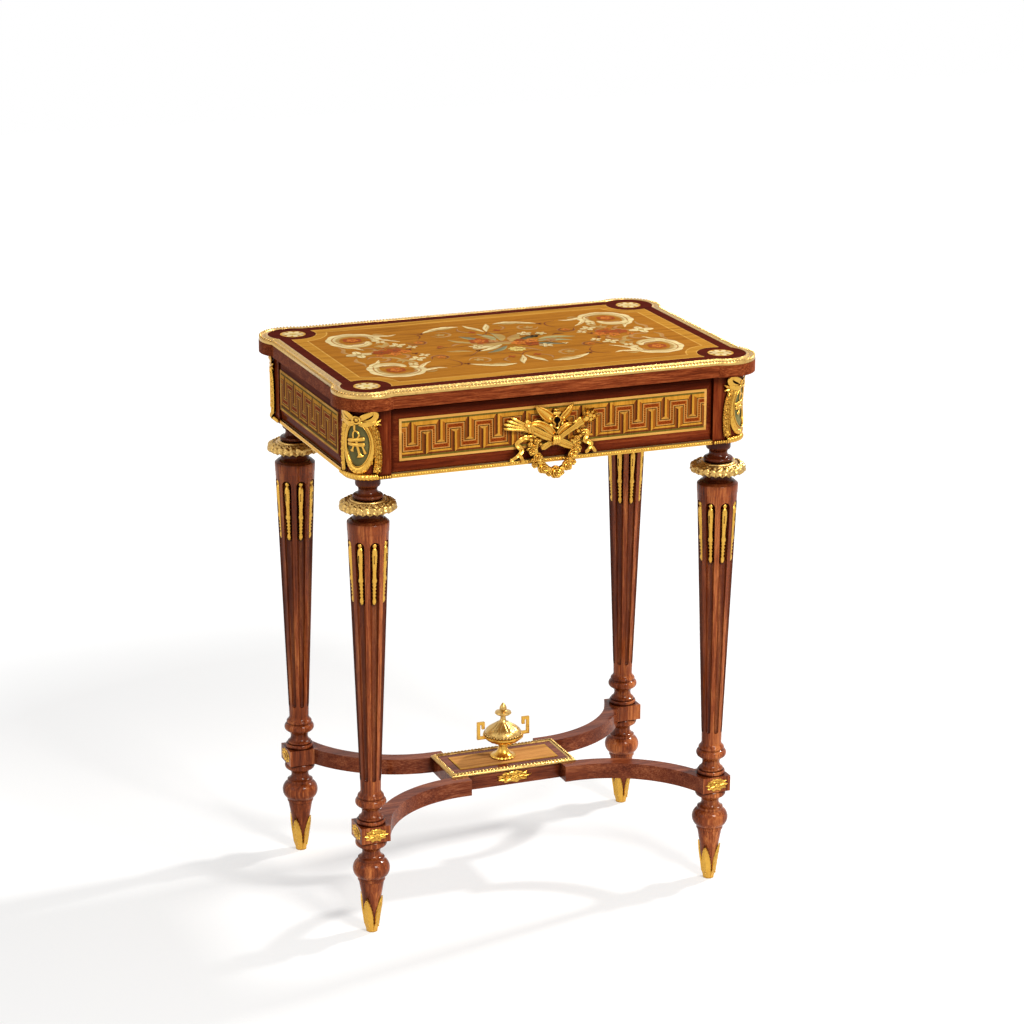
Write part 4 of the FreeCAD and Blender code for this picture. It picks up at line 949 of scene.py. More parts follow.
def oval(half_width, half_height, lift, reach, thickness, weight):
    """Rows of an oval about the plaque's middle, heavier at its foot."""
    rows = []
    for step in range(20):
        out, up = math.sin(math.pi * step / 10), math.cos(math.pi * step / 10)
        heavy = weight * max(0.0, -up) / 2
        rows.append((half_width * out, plaque_middle + half_height * up - heavy, lift, reach + heavy, thickness))
    return rows


def swag(bm, onto, side):
    """A laurel swag down one side of the frame: leaves in pairs over a stem, with a bud at its foot."""
    rows = [(side * x, z, 1.6, 2.6, 1.6) for x, z in swag_path]
    sweep(bm, rows, round_section, onto)
    line = smooth_line([Vector((side * x, z)) for x, z in swag_path], 4)
    for number, (start, end) in enumerate(zip(line, line[1:])):
        heading = math.degrees(math.atan2(end.y - start.y, end.x - start.x))
        for lean, lift in ((-34, 2.4), (34, 2.4), (0, 3.4)):
            if lean or number % 2:
                set_on(bm, small_leaf, onto, (start.x, start.y, lift), heading + lean, (9.0, 8.6, 8.0), -8.0)
        if number % 3 == 1:
            berries(bm, onto, [(start.x + side * 1.6, start.y, 1.4)], 4.4)
    foot = line[-1]
    berries(bm, onto, [(foot.x + x, foot.y + z, size) for x, z, size in swag_bud], 2.6)


def corner_frames():
    """On each post an oval frame, its bow and swags, and the emblem on the plaque, cast in one."""
    for (x_side, y_side), corner in zip(corner_sides, corners):
        onto = on_post(x_side, y_side, True)
        bm = bmesh.new()
        for measures in frame_ovals:
            sweep(bm, oval(*measures), round_section, onto, 2, True)
        for number in range(fan_leaf_count):
            angle = math.pi * (0.62 + 0.076 * number)
            grow = 1.0 - abs(number - 5) / 7
            spot = (fan_reach[0] * math.sin(angle), plaque_middle + fan_reach[1] * math.cos(angle) - 1.6 * grow,
                    fan_lift)
            set_on(bm, small_leaf, onto, spot, math.degrees(-angle) - 12 * (number - 5), (6.4, 7.0 * grow + 5.0, 7.0))
        for side in both_sides:
            swag(bm, onto, side)
            for rows in bow_ribbons:
                sweep(bm, [(side * x, *rest) for x, *rest in rows], ribbon_section, onto)
            set_on(bm, ball, onto, (side * bow_button_place[0], *bow_button_place[1:]), 0.0, bow_button_size)
        ring = [(bow_ring_radius * math.sin(turn), bow_middle + bow_ring_radius * math.cos(turn), bow_ring_lift,
                 bow_ring_bar, bow_ring_bar) for turn in [math.pi * step / 5 for step in range(10)]]
        sweep(bm, ring, round_section, onto, 2, True)
        set_on(bm, ball, onto, (0.0, bow_middle, 2.4), 0.0, bow_heart_size)
        for rows in emblem_parts:
            sweep(bm, rows, round_section, onto, 2)
        gilt("oval_mount_" + corner, bm, "corner_mount_" + corner)


coat_nodes(polished_wood("olive_enamel", "Z", enamel_tones, 90.0, 0.0, 0.9, 0.2, 0.0), "corner_plaques")
bead_rows()
reeded_rings()
corner_frames()


# Keyhole trophy
# One gilt casting pinned to the drawer round the keyhole: a winged plate, a quiver and a torch that
# cross under a ribbon, and a garland of roses that hangs below the drawer.

front_lift = 178.8
keyhole_head = 684.4
quiver_rows = (
    (-46, 683.2, 4, 6.4, 5.4), (-42, 681, 4.6, 7.6, 6), (-30, 674, 5, 6.8, 5.6), (-12, 664.5, 5, 6, 5),
    (2, 657, 4.6, 5.2, 4.4), (14, 651, 4.2, 5, 4.2), (24, 646.4, 3.6, 3.8, 3.4), (29, 644.2, 3, 1.2, 1.4))
torch_rows = (
    (35.6, 682, 5.4, 4, 4), (33.4, 680.8, 5.8, 5.8, 5.2), (29, 678.2, 6, 5, 4.6), (26, 676.4, 6, 5.4, 5),
    (22, 674, 6.2, 4.6, 4.4), (10, 667, 6.4, 4.2, 4), (0, 660.6, 6.6, 3.8, 3.8), (-12, 653.4, 5, 3.4, 3),
    (-18, 650, 4.4, 3.8, 3.2), (-21.4, 648, 4, 1.6, 1.6))
arrow_shafts = (
    (-63.5, 693.5, -42, 682), (-69, 690, -43, 679.8), (-73.5, 685.6, -43, 677.6), (-73.5, 680, -42, 675.4))
hollow_section = (
    (-1, -0.6), (-1, 0.8), (-0.75, 1.1), (-0.45, 0.1), (0, -0.4), (0.5, -0.1), (0.8, 0.9), (1, 0.6), (1, -0.6),
    (0, -1))
wing_rows = (
    ((-5, 686, 4.6, 3, 2.4), (-10, 688.5, 5.6, 6.2, 2.8), (-17, 694, 6, 6.4, 2.6), (-23.5, 699.6, 5.4, 4.6, 1.9),
     (-29.5, 705.6, 4, 0.8, 0.6)),
    ((5, 686, 4.6, 2.8, 2.4), (9, 689.5, 5.6, 5, 2.8), (14.5, 695, 6, 4.6, 2.4), (19, 700.4, 5.2, 3, 1.6),
     (23, 705.2, 4.2, 0.6, 0.5)))
arch_rows = (
    ((-41, 680, 6.4, 1.8, 1.6), (-37, 683, 7.8, 3.2, 2), (-29, 683.6, 8.6, 4, 2.2), (-20, 680, 8.8, 4.6, 2.2),
     (-12, 673.6, 8.2, 4.8, 2), (-4, 665, 6.8, 3.2, 1.6)),
    ((0, 667, 7, 3, 1.6), (5, 673, 8, 3.8, 2), (11, 677.4, 8.4, 3.4, 2), (17, 678.6, 8, 2.6, 1.8),
     (23, 677, 7, 1.4, 1.3)))
ribbon_runs = (
    ((-30, 665, 2.6, 2.4, 1.2), (-36, 664.4, 4.8, 3, 1.2), (-43, 664.4, 2.6, 3.2, 1.2), (-50, 662.6, 5, 3.2, 1.2),
     (-54.6, 657.4, 2.6, 3.2, 1.2), (-51.6, 652.8, 5.2, 3.2, 1.2), (-47.4, 648.6, 2.8, 3, 1.2),
     (-51, 644.6, 5, 3, 1.2), (-53.6, 641.6, 3, 2.4, 1.2)),
    ((-52, 643, 3, 2.2, 1.1), (-56, 640.4, 4.4, 2.2, 1.1), (-59.6, 637.6, 2.6, 2, 1.1), (-62.6, 635.6, 3, 2.6, 1),
     (-63.8, 634.6, 2.4, 1, 0.8)),
    ((-51, 642, 3, 2.2, 1.1), (-48.6, 638.6, 4.4, 2.2, 1.1), (-46.6, 635, 2.6, 2, 1.1), (-44.8, 632.2, 3, 2.6, 1),
     (-44, 631, 2.4, 1, 0.8)),
    ((26, 668, 2.6, 2.4, 1.2), (31, 667.6, 4.8, 2.8, 1.2), (36.6, 666, 2.8, 2.8, 1.2), (42.6, 664.6, 5, 3, 1.2),
     (42, 659, 2.8, 3, 1.2), (38.6, 654.4, 5.2, 3, 1.2), (43.6, 651.4, 2.8, 3, 1.2), (48, 648.6, 5, 2.8, 1.2),
     (47.4, 644, 3, 2.4, 1.2)),
    ((47.4, 645.4, 3, 2.2, 1.1), (44.8, 641.6, 4.4, 2.2, 1.1), (42.8, 638.4, 2.6, 2.4, 1.1),
     (41.4, 635.8, 2.6, 1, 0.8)),
    ((47.8, 645.4, 3, 2.2, 1.1), (51.2, 641.8, 4.4, 2.2, 1.1), (53.6, 639, 2.6, 2.4, 1.1), (55.8, 636.8, 2.6, 1, 0.8)))
garland_rows = (
    (-28, 657, 3.4, 3, 3), (-30, 648, 3.6, 3.8, 3.4), (-27, 637, 3.8, 4.4, 3.6), (-18, 624, 4, 4.6, 3.8),
    (-3, 616.5, 4, 4.8, 4), (13, 623, 4, 4.6, 3.8), (22, 636, 3.8, 4.4, 3.6), (25, 648, 3.6, 3.8, 3.4),
    (23, 657, 3.4, 3, 3))
rose_places = (
    (-31, 651.8, 4.8), (-34.6, 645, 4.6), (-26.7, 637.6, 6.8), (-30.6, 627.6, 4.4), (-19.4, 622.8, 7.8),
    (-10.8, 615.2, 4.8), (-1.7, 615.8, 8.8), (6.4, 614.4, 4.4), (14.4, 623.2, 7.4), (22.8, 626.6, 4.4),
    (22.2, 637.6, 7.4), (26.8, 648, 5), (30, 641.6, 3.8), (-28.4, 659, 4.6), (27.6, 657.4, 4.6), (-37, 655.4, 3.6),
    (-21, 631.4, 3.6), (16.4, 631, 3.4), (-32.8, 634, 3.4))
plate_swellings = (
    ((-0.6, 694, 4.6), (7.2, 3.6, 3.6)), ((-9.4, 685, 3), (3.4, 5, 3)), ((9.6, 684.6, 3), (3.4, 5.4, 3)),
    ((-8.8, 677, 4.6), (4.4, 4.4, 3.6)), ((7.4, 677.6, 3.4), (3, 4.4, 3)), ((-14.4, 684, 3.8), (4.2, 3.2, 2.8)),
    ((-0.6, 698, 3.4), (4.6, 2.2, 2.2)), ((-5.6, 670.6, 4.6), (3.2, 2.8, 2.8)))
strap_shares, cord_shares = (-1.2, -0.8, -0.3, 0.3, 0.8, 1.2), (-1.0, -0.6, 0.0, 0.6, 1.0)
band_rows = (
    ((-40.2, 678.0), (3.0, -7.4), (8.8, 4.2), (2.8, 2.0), strap_shares),
    ((-36.072, 675.6), (3.0, -7.4), (8.8, 4.2), (1.5, 2.0), strap_shares),
    ((-5.76, 659.4), (0.9, 6.2), (11.4, 3.6), (2.2, 1.8), cord_shares),
    ((-2.4, 659.4), (0.9, 6.2), (11.4, 3.6), (2.2, 1.8), cord_shares),
    ((0.96, 659.4), (0.9, 6.2), (11.4, 3.6), (2.2, 1.8), cord_shares))
flame_root = (38.0, 684.0, 6.0)
flame_leaves = ((-20, 14), (4, 18), (24, 19), (46, 18), (72, 14))
flame_berries = (
    (38.6, 684, 6.6), (44, 687.6, 5.6), (45, 682.4, 4.6), (41, 690.8, 3.8), (49.4, 686.4, 4.2), (47.6, 691.6, 3.4))
garland_leaves = ((31, 655, -80), (-33, 660, 230), (-30, 667, 200), (33, 662, 20), (-35, 650, 190), (31, 648, -70))
garland_berries = (
    (-36, 662, 3.4), (-31, 666, 3), (29, 668, 3.6), (32, 661, 3), (34.6, 668, 2.6), (31, 652, 3), (-23, 655, 2.6),
    (20, 656, 2.6), (27, 672, 3), (-24, 660, 2.8))
rose_rows = (
    (0, 1.02), (0.12, 1), (0.24, 1.08), (0.34, 1.04), (0.40, 0.84), (0.52, 0.92), (0.66, 0.88), (0.72, 0.64),
    (0.84, 0.68), (0.96, 0.56), (1, 0.34), (0.9, -0.2))


def rose():
    """An open rose of radius 1: three rows of petals, each lifting at its edge over the next."""
    def place(u, v):
        step = round(v * (len(rose_rows) - 1))
        reach, height = rose_rows[step]
        row = min(2, (step + 1) // 4)
        wave = abs(math.cos((3, 5, 5)[row] * math.pi * u + 0.8 * row))
        lip = reach * (0.9 + 0.12 * wave)
        angle = 2 * math.pi * u + 0.25 * row
        return Vector((lip * math.cos(angle), lip * math.sin(angle), height - 0.14 * (1 - wave) * (step > 0)))
    return bent(30, len(rose_rows) - 1, place)


def on_drawer(width, height, lift):
    """Places on the front of the drawer's field."""
    return Vector((width, -front_lift / 1000 - lift, height))


def fluted(count, depth):
    """A round section with flutes cut in it."""
    steps = [(1.0 - depth * (step % 2), math.pi * step / count) for step in range(2 * count)]
    return [(reach * math.cos(angle), reach * math.sin(angle)) for reach, angle in steps]


def keyhole_edge(reach, lift, half, thickness):
    """Rows round the keyhole: a round head and a narrow foot."""
    turns = [math.radians(-62 + 38 * step) for step in range(9)]
    foot = reach - 2.2
    return [(x, z, lift, half, thickness) for x, z in
            [(reach * math.cos(turn), keyhole_head + reach * math.sin(turn)) for turn in turns]
            + [(-foot, 675.6), (0.0, 673.6), (foot, 675.6)]]


def trophy():
    """The casting, from its plate at the back to the ribbons and roses at the front."""
    bm = bmesh.new()
    flower = kept(rose())
    sweep(bm, keyhole_edge(5.6, 3.4, 1.6, 2.4), round_section, on_drawer, 2, True)
    for rows in wing_rows + arch_rows:
        sweep(bm, rows, hollow_section, on_drawer)
    for place, sizes in plate_swellings:
        set_on(bm, ball, on_drawer, place, 0.0, sizes)
    sweep(bm, quiver_rows, fluted(9, 0.3), on_drawer)
    sweep(bm, torch_rows, fluted(8, 0.3), on_drawer)
    for x, z, end_x, end_z in arrow_shafts:
        slope = (end_z - z) / (end_x - x)
        sweep(bm, ((x, z, 3.6, 0.8, 0.8), (x + 4, z + 4 * slope, 5.0, 2.3, 2.1),
                   ((x + end_x) / 2, (z + end_z) / 2, 5.8, 2.2, 2.1), (end_x, end_z, 5.4, 1.9, 2.0)),
              round_section, on_drawer)
    for (x, z), (right, up), (lift, fall), section, shares in band_rows:
        sweep(bm, [(x + right * t, z + up * t, lift - fall * t * t, *section) for t in shares],
              round_section, on_drawer)
    for angle, length in flame_leaves:
        set_on(bm, small_leaf, on_drawer, flame_root, angle, (length, 17.0, 22.0), -4.0)
    for x, z, size in flame_berries:
        set_on(bm, ball, on_drawer, (x, z, 6.0), 30.0, (size, 0.8 * size, size))
    for rows in ribbon_runs:
        sweep(bm, rows, ribbon_section, on_drawer)
    sweep(bm, garland_rows, round_section, on_drawer, 4)
    for number, (x, z, size) in enumerate(rose_places):
        set_on(bm, flower, on_drawer, (x, z, 3.6), 40.0 * number, (size, size, 0.95 * size))
    for x, z, angle in garland_leaves:
        set_on(bm, notched_leaf, on_drawer, (x, z, 4.0), angle, (8.0, 9.0, 9.0), -4.0)
    berries(bm, on_drawer, garland_berries, 4.6)
    return bm


def keyhole_lining():
    """A black plug inside the keyhole of the casting: painted shade where the hole goes deep."""
    bm = bmesh.new()
    line = smooth_line([Vector(row) / 1000 for row in keyhole_edge(5.6, 0.0, 0.0, 0.0)], 2, True)[:-1]
    face = bm.faces.new([bm.verts.new(on_drawer(row[0], row[1], 0.0042)) for row in line])
    bmesh.ops.inset_individual(bm, faces=[face], thickness=0.0006, depth=-0.0010, use_even_offset=True)
    bmesh.ops.recalc_face_normals(bm, faces=bm.faces)
    return bm


# The keyhole is filled with black: painted shade for the deep hole behind it.
keyhole_shade_black = gilt_metal("keyhole_shade_black", (0.004, 0.003, 0.003, 1.0), 0.6)
piece("keyhole_lining", keyhole_lining(), keyhole_shade_black, "drawer")
gilt("trophy_casting", trophy(), "keyhole_trophy", 30.0, body="drawer")


# Top
# A mahogany board with a round ear over each leg. A gilt moulding runs round its edge: small leaves
# on a round outer side, a hollow, and a raised inner lip. It is pinned to the board from above.

side_overhang = 0.038
front_overhang = 0.0405
ear_radius = 0.046
rim_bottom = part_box("rim_moulding")[0][2]
sheet_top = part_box("marquetry_sheet")[1][2]
rim_edge = 0.0004
rim_rows = (
    (0, 0.0022), (0, 0.0008), (0.0009, 0.0016), (0.0016, 0.0008), (0.0017, 0.0002), (0.0008, -0.0009),
    (0.0014, -0.0009), (0.0014, 0.0004), (0.0009, 0.0012), (0.0006, 0.0009), (0.0012, 0.0003), (0.0012, -0.0004),
    (0.0008, -0.0016))
leaf_lean = Matrix.Rotation(math.radians(32.0), 4, "X") @ Matrix.Rotation(math.radians(34.0), 4, "Y")
rim_bead_rows = ((0.0026, 0.0046, 0.0041, leaf_lean, (0.0016, 0.0021, 0.0034)),
                 (0.0107, 0.0062, 0.0059, Matrix.Identity(4), (0.0026, 0.0010, 0.0010)))


def to_four_corners(quarter):
    """A closed line round the table from the places of one corner, given as seen from the leg's axis."""
    points = []
    for x_side, y_side in ((1, 1), (-1, 1), (-1, -1), (1, -1)):
        arc = [(x_side * (leg_axis[0] + x), y_side * (leg_axis[1] + y)) for x, y in quarter]
        points += arc if x_side * y_side > 0 else arc[::-1]
    return points


def arc_of(radius, first, last, steps):
    """Places along an arc, from its two angles."""
    turns = [first + (last - first) * step / steps for step in range(steps + 1)]
    return [(radius * math.cos(turn), radius * math.sin(turn)) for turn in turns]


def top_plan(inset):
    """Points round the top's outline, set in from its edge: straight sides and round ears."""
    radius = ear_radius - inset
    return to_four_corners(arc_of(radius, -math.acos((side_overhang - inset) / radius),
                                  math.pi / 2 + math.acos((front_overhang - inset) / radius), 22))


def spaced(points, pitch):
    """Evenly spaced places and directions round a closed line of points."""
    spans = [(Vector(a), Vector(b)) for a, b in zip(points, points[1:] + points[:1])]
    length = sum((b - a).length for a, b in spans)
    count = round(length / pitch)
    found, walked = [], 0.0
    for start, end in spans:
        run = (end - start).length
        while len(found) < count and (len(found) + 0.5) * length / count <= walked + run:
            share = ((len(found) + 0.5) * length / count - walked) / run
            found.append((start.lerp(end, share), (end - start).normalized()))
        walked += run
    return found


def stepped(outline, height, rows):
    """A moulding: an outline drawn up, then stepped in and up row by row, and left open in the middle."""
    bm = bmesh.new()
    face = bm.faces.new([bm.verts.new((x, y, height)) for x, y in outline])
    for inset, rise in rows:
        if inset:
            bmesh.ops.inset_individual(bm, faces=[face], thickness=inset, depth=rise, use_even_offset=True)
        else:
            face = bmesh.ops.extrude_discrete_faces(bm, faces=[face])["faces"][0]
            bmesh.ops.translate(bm, vec=(0.0, 0.0, rise), verts=face.verts)
    bmesh.ops.delete(bm, geom=[face], context="FACES")
    return bm


def moulding_on_top():
    """The rim, with slanting leaves on its round side and long beads on its lip."""
    bm = stepped(top_plan(rim_edge), rim_bottom, rim_rows)
    for inset, pitch, rise, tilt, shape in rim_bead_rows:
        for place, way in spaced(top_plan(inset), pitch):
            turn = Vector((way.x, way.y, 0.0)).to_track_quat("X", "Z").to_matrix().to_4x4()
            stamp(bm, ball, Matrix.Translation((place.x, place.y, rim_bottom + rise)) @ turn @ tilt @ sized(*shape))
    return bm


gilt("leaf_moulding", moulding_on_top(), "rim_moulding", 32.0, pale_gilding, "top")


# Flower marquetry
# Veneers let into a satinwood ground and laid on the top inside the rim: a kingwood border with a
# pale roundel at each corner, a crossbanding, scrolls of leaves and a bunch of flowers.

inlay_lift = 0.00003
border_inset = 0.0119
roundel_radius, petal_reach, petal_radius = 0.0172, 0.0098, 0.0060
dot_reach, dot_radius, heart_radius = 0.0125, 0.0019, 0.0034
field_edges = ((0.2575, 0.1620, 0.031, "string"), (0.2562, 0.1607, 0.0323, "crossband"),
               (0.2410, 0.1455, 0.0445, "string"), (0.2390, 0.1435, 0.0465, "satin"))
inlay_woods = {
    "kingwood": (0.078, 0.0085, 0.0030), "string": (0.56, 0.30, 0.060), "crossband": (0.43, 0.195, 0.024),
    "satin": (0.345, 0.132, 0.013), "satin_pale": (0.56, 0.265, 0.080), "holly": (0.66, 0.53, 0.26),
    "holly_shade": (0.40, 0.25, 0.075),
    "rust": (0.30, 0.065, 0.014), "orange": (0.52, 0.16, 0.025), "ebony": (0.028, 0.012, 0.006),
    "green": (0.115, 0.095, 0.040), "grey_green": (0.33, 0.29, 0.125), "slate": (0.17, 0.165, 0.095),
    "pink": (0.60, 0.36, 0.17), "brown": (0.20, 0.060, 0.018), "lemon": (0.60, 0.46, 0.13),
    "tan": (0.40, 0.20, 0.065)}


def field_plan(half_x, half_y, notch):
    """An oblong with a round notch about each leg's axis."""
    return to_four_corners(arc_of(notch, -math.acos((half_x - leg_axis[0]) / notch),
                                  -math.pi - math.asin((half_y - leg_axis[1]) / notch), 14))


def mixed_tint(wood, shade, share):
    """The colour of a wood, mixed toward a second wood by a share."""
    return (*[a + (b - a) * share for a, b in zip(inlay_woods[wood], inlay_woods[shade])], 1.0)


def paint(bm, corners_made, wood):
    """Sets the tint of new corners."""
    tint = bm.verts.layers.float_color["tint"]
    for corner in corners_made:
        corner[tint] = mixed_tint(wood, wood, 0.0)


def lay_field(bm, points, wood, layer):
    """A flat veneer over the whole of an outline."""
    face = bm.faces.new([bm.verts.new((x, y, sheet_top + layer * inlay_lift)) for x, y in points])
    face.normal_update()
    if face.normal.z < 0:
        face.normal_flip()
    paint(bm, face.verts, wood)


def lay_disc(bm, centre, radius, wood, layer, sides, squash=1.0, turn=0.0):
    """A round or oval veneer."""
    matrix = (Matrix.Translation((centre[0], centre[1], sheet_top + layer * inlay_lift))
              @ Matrix.Rotation(turn, 4, "Z") @ Matrix.Diagonal((1.0, squash, 1.0, 1.0)))
    part = tinted_mesh()
    bmesh.ops.create_circle(part, cap_ends=True, radius=radius, segments=sides, matrix=matrix)
    paint(part, part.verts, wood)
    merge(bm, part)


def lay_spray(bm, rows, wood, shade, layer, lobes=0, lit=-1):
    """A curved leaf or stem. Rows are x, y and width in millimetres; one edge is scorched darker."""
    line = smooth_line([Vector(row) / 1000 for row in rows])
    last = len(line) - 1
    part = tinted_mesh()
    tint = part.verts.layers.float_color["tint"]
    bmesh.ops.create_grid(part, x_segments=3, y_segments=last, size=0.5)
    for corner in part.verts:
        across, along = corner.co.x * 2, round((corner.co.y + 0.5) * last)
        here = line[along]
        way = (line[min(along + 1, last)] - line[max(along - 1, 0)]).xy.normalized()
        half = here.z / 2
        if lobes and across * lit > 0:
            half *= 0.9 + 0.28 * abs(math.sin(math.pi * lobes * along / last))
        place = here.xy + Vector((-way.y, way.x)) * across * half
        corner.co = (*place, sheet_top + layer * inlay_lift)
        corner[tint] = mixed_tint(wood, shade, max(0.0, -across * lit) ** 1.5)
    bmesh.ops.recalc_face_normals(part, faces=part.faces)
    bmesh.ops.reverse_faces(part, faces=[face for face in part.faces if face.normal.z < 0])
    merge(bm, part)


def lay_flower(bm, centre, radius, petals, wood, heart, turn, slim, layer):
    """A flower of oval petals round a heart."""
    x, y, reach = centre[0] / 1000, centre[1] / 1000, radius / 1000
    for number in range(petals):
        angle = turn + 2 * math.pi * number / petals
        out, up = reach * math.cos(angle), reach * math.sin(angle)
        lay_disc(bm, (x + 0.56 * out, y + 0.56 * up), 0.5 * reach, wood, layer + 0.35 * (number % 2), 14, slim, angle)
        lay_disc(bm, (x + 0.62 * out, y + 0.62 * up), 0.3 * reach, heart, layer + 0.6, 6, 0.16, angle)
    lay_disc(bm, (x, y), 0.27 * reach, heart, layer + 1, 10)


corner_scrolls = (
    (((-187, -28, 1), (-193, -42, 6), (-203, -56, 13), (-210, -74, 16), (-210, -94, 15), (-200, -110, 14),
     (-183, -116, 13), (-166, -111, 14), (-154, -98, 15), (-153, -82, 13), (-160, -72, 5)), "holly", "holly_shade", 9),
    (((-206, -62, 6), (-195, -54, 14), (-181, -55, 17), (-170, -63, 13), (-166, -74, 4)), "holly", "holly_shade", 4),
    (((-204, -70, 2), (-204, -88, 5), (-196, -102, 4), (-182, -107, 3), (-170, -101, 1)), "holly_shade", "tan", 0),
    (((-197, -66, 2), (-188, -64, 5), (-177, -66, 5), (-171, -74, 1)), "tan", "brown", 0),
    (((-162, -90, 1), (-160, -98, 4), (-166, -104, 3), (-176, -107, 1)), "tan", "brown", 0),
    (((-152, -90, 7), (-146, -78, 7), (-137, -67, 5), (-126, -58, 1)), "holly", "tan", 3),
    (((-153, -100, 6), (-141, -96, 8), (-129, -93, 6), (-118, -98, 1)), "holly", "tan", 3),
    (((-150, -104, 2), (-142, -108, 6), (-133, -104, 1)), "holly_shade", "tan", 0),
    (((-212, -12, 2), (-217, -26, 6), (-212, -40, 5), (-214, -56, 1)), "tan", "holly_shade", 0),
    (((-200, -20, 2), (-191, -11, 5), (-178, -15, 6), (-172, -28, 6), (-180, -38, 5), (-190, -34, 1)),
     "tan", "brown", 0),
    (((-181, -24, 1), (-170, -20, 5), (-161, -28, 6), (-158, -44, 4), (-164, -54, 1)), "holly_shade", "tan", 2),
    (((-150, -6, 1), (-142, -16, 6), (-146, -28, 5), (-158, -34, 1)), "tan", "brown", 0),
    (((-168, -44, 2), (-158, -40, 9), (-149, -48, 8), (-145, -62, 1)), "holly_shade", "tan", 2),
    (((-121, -50, 1), (-115, -36, 4), (-102, -33, 4), (-96, -44, 4), (-104, -54, 2)), "brown", "tan", 0),
    (((-100, -60, 1), (-92, -74, 2), (-95, -90, 2), (-112, -98, 1)), "brown", "brown", 0),
    (((-84, -90, 1), (-70, -99, 8), (-50, -108, 11), (-38, -109, 9), (-25, -108, 1)), "holly", "holly_shade", 4),
    (((-66, -105, 1), (-50, -100, 4), (-36, -102, 1)), "holly_shade", "tan", 0),
    (((-78, -72, 1), (-70, -62, 3), (-58, -62, 4), (-50, -72, 4), (-54, -84, 3), (-64, -88, 1)),
     "tan", "holly_shade", 0),
    (((-17, -112, 1), (-13, -98, 8), (-7, -86, 8), (-2, -70, 1)), "holly", "holly_shade", 0),
    (((-30, -98, 1), (-33, -86, 4), (-27, -76, 3), (-18, -72, 1)), "tan", "brown", 0),
    (((0, -66, 1.6), (-4, -58, 2), (-14, -52, 2), (-28, -54, 0.8)), "brown", "brown", 0))
corner_flowers = (
    ((-184, -86), 13.0, 6, "rust", "brown", 0.3, 0.95), ((-184, -86), 8.0, 5, "orange", "rust", 0.8, 0.8),
    ((-137, -39), 11.5, 4, "holly", "holly_shade", 0.1, 0.62),
    ((-152, -64), 8.0, 4, "holly", "holly_shade", 0.5, 0.6), ((-122, -24), 8.0, 4, "holly", "tan", 0.2, 0.6),
    ((-106, -43), 6.5, 5, "orange", "brown", 0.1, 0.8), ((-130, -12), 5.0, 3, "brown", "ebony", 0.6, 0.8),
    ((-18, -72), 6.0, 4, "rust", "brown", 0.2, 0.7), ((-86, -88), 5.0, 3, "brown", "ebony", 0.6, 0.8),
    ((-64, -73), 7.0, 5, "holly_shade", "tan", 0.2, 0.6))
side_flowers = (
    ((202, 7), 17.0, 4, "holly", "holly_shade", 0.0, 0.66), ((170, 9), 12.0, 6, "rust", "brown", 0.2, 0.85),
    ((150, 12), 13.0, 6, "rust", "brown", 0.0, 0.8), ((156, -6), 9.0, 5, "orange", "brown", 0.5, 0.75),
    ((139, 3), 9.0, 5, "orange", "rust", 0.5, 0.7), ((179, -8), 6.0, 4, "orange", "brown", 0.2, 0.7),
    ((161, 27), 6.0, 4, "orange", "brown", 0.5, 0.7))

bouquet_sprays = (
    (((-96, 2, 1), (-88, 4, 4), (-76, 5, 2), (-62, 2, 2.4), (-46, 8, 1)), "brown", "ebony", 0),
    (((-92, 6, 1), (-88, 12, 5), (-80, 14, 1)), "rust", "brown", 0),
    (((-88, -16, 1), (-80, -19, 7), (-68, -20, 9), (-56, -28, 1)), "holly_shade", "tan", 3),
    (((-72, 8, 1), (-64, 16, 6), (-54, 18, 1)), "tan", "brown", 0),
    (((-70, -52, 1), (-58, -40, 2), (-48, -28, 2), (-40, -20, 1)), "brown", "tan", 0),
    (((-8, 16, 3), (-6, 34, 12), (-10, 48, 10), (-16, 62, 1)), "grey_green", "tan", 6),
    (((2, 14, 3), (8, 34, 13), (8, 50, 10), (2, 64, 1)), "holly_shade", "grey_green", 6),
    (((-20, 28, 3), (-30, 36, 11), (-37, 46, 9), (-44, 56, 1)), "slate", "grey_green", 4),
    (((12, 8, 3), (20, 20, 16), (28, 32, 13), (38, 44, 1)), "holly_shade", "tan", 3),
    (((-34, 12, 2), (-48, 22, 8), (-58, 32, 6), (-64, 44, 1)), "holly_shade", "grey_green", 3),
    (((24, 8, 3), (38, 18, 10), (50, 24, 9), (62, 28, 1)), "green", "ebony", 3),
    (((52, 6, 3), (68, 12, 11), (84, 10, 11), (104, 4, 1)), "grey_green", "holly_shade", 5),
    (((48, -2, 3), (64, -2, 10), (78, -6, 8), (92, -14, 1)), "grey_green", "slate", 4),
    (((36, -8, 3), (52, -18, 12), (62, -24, 9), (76, -30, 1)), "slate", "ebony", 3),
    (((-8, 2, 2), (-24, -8, 9), (-36, -15, 8), (-50, -18, 1)), "holly", "holly_shade", 3),
    (((-6, -6, 2), (-20, -17, 9), (-32, -25, 8), (-46, -30, 1)), "holly", "grey_green", 3),
    (((-2, -14, 2), (-14, -28, 9), (-26, -37, 8), (-40, -42, 1)), "slate", "grey_green", 4),
    (((-44, 8, 2), (-34, 2, 10), (-20, 0, 16), (-4, 4, 16), (10, 0, 14), (26, 2, 4)), "holly_shade", "tan", 0),
    (((-42, 4, 1), (-26, 4, 2.4), (-8, 8, 2), (8, 4, 2.4), (24, 2, 1)), "brown", "tan", 0),
    (((-20, 10, 1), (-8, 14, 2), (2, 10, 2), (12, 14, 1)), "brown", "tan", 0),
    (((4, -20, 2), (16, -32, 6), (26, -44, 5), (32, -58, 1)), "tan", "brown", 0),
    (((78, 22, 1), (86, 26, 5), (96, 24, 1)), "brown", "ebony", 0))
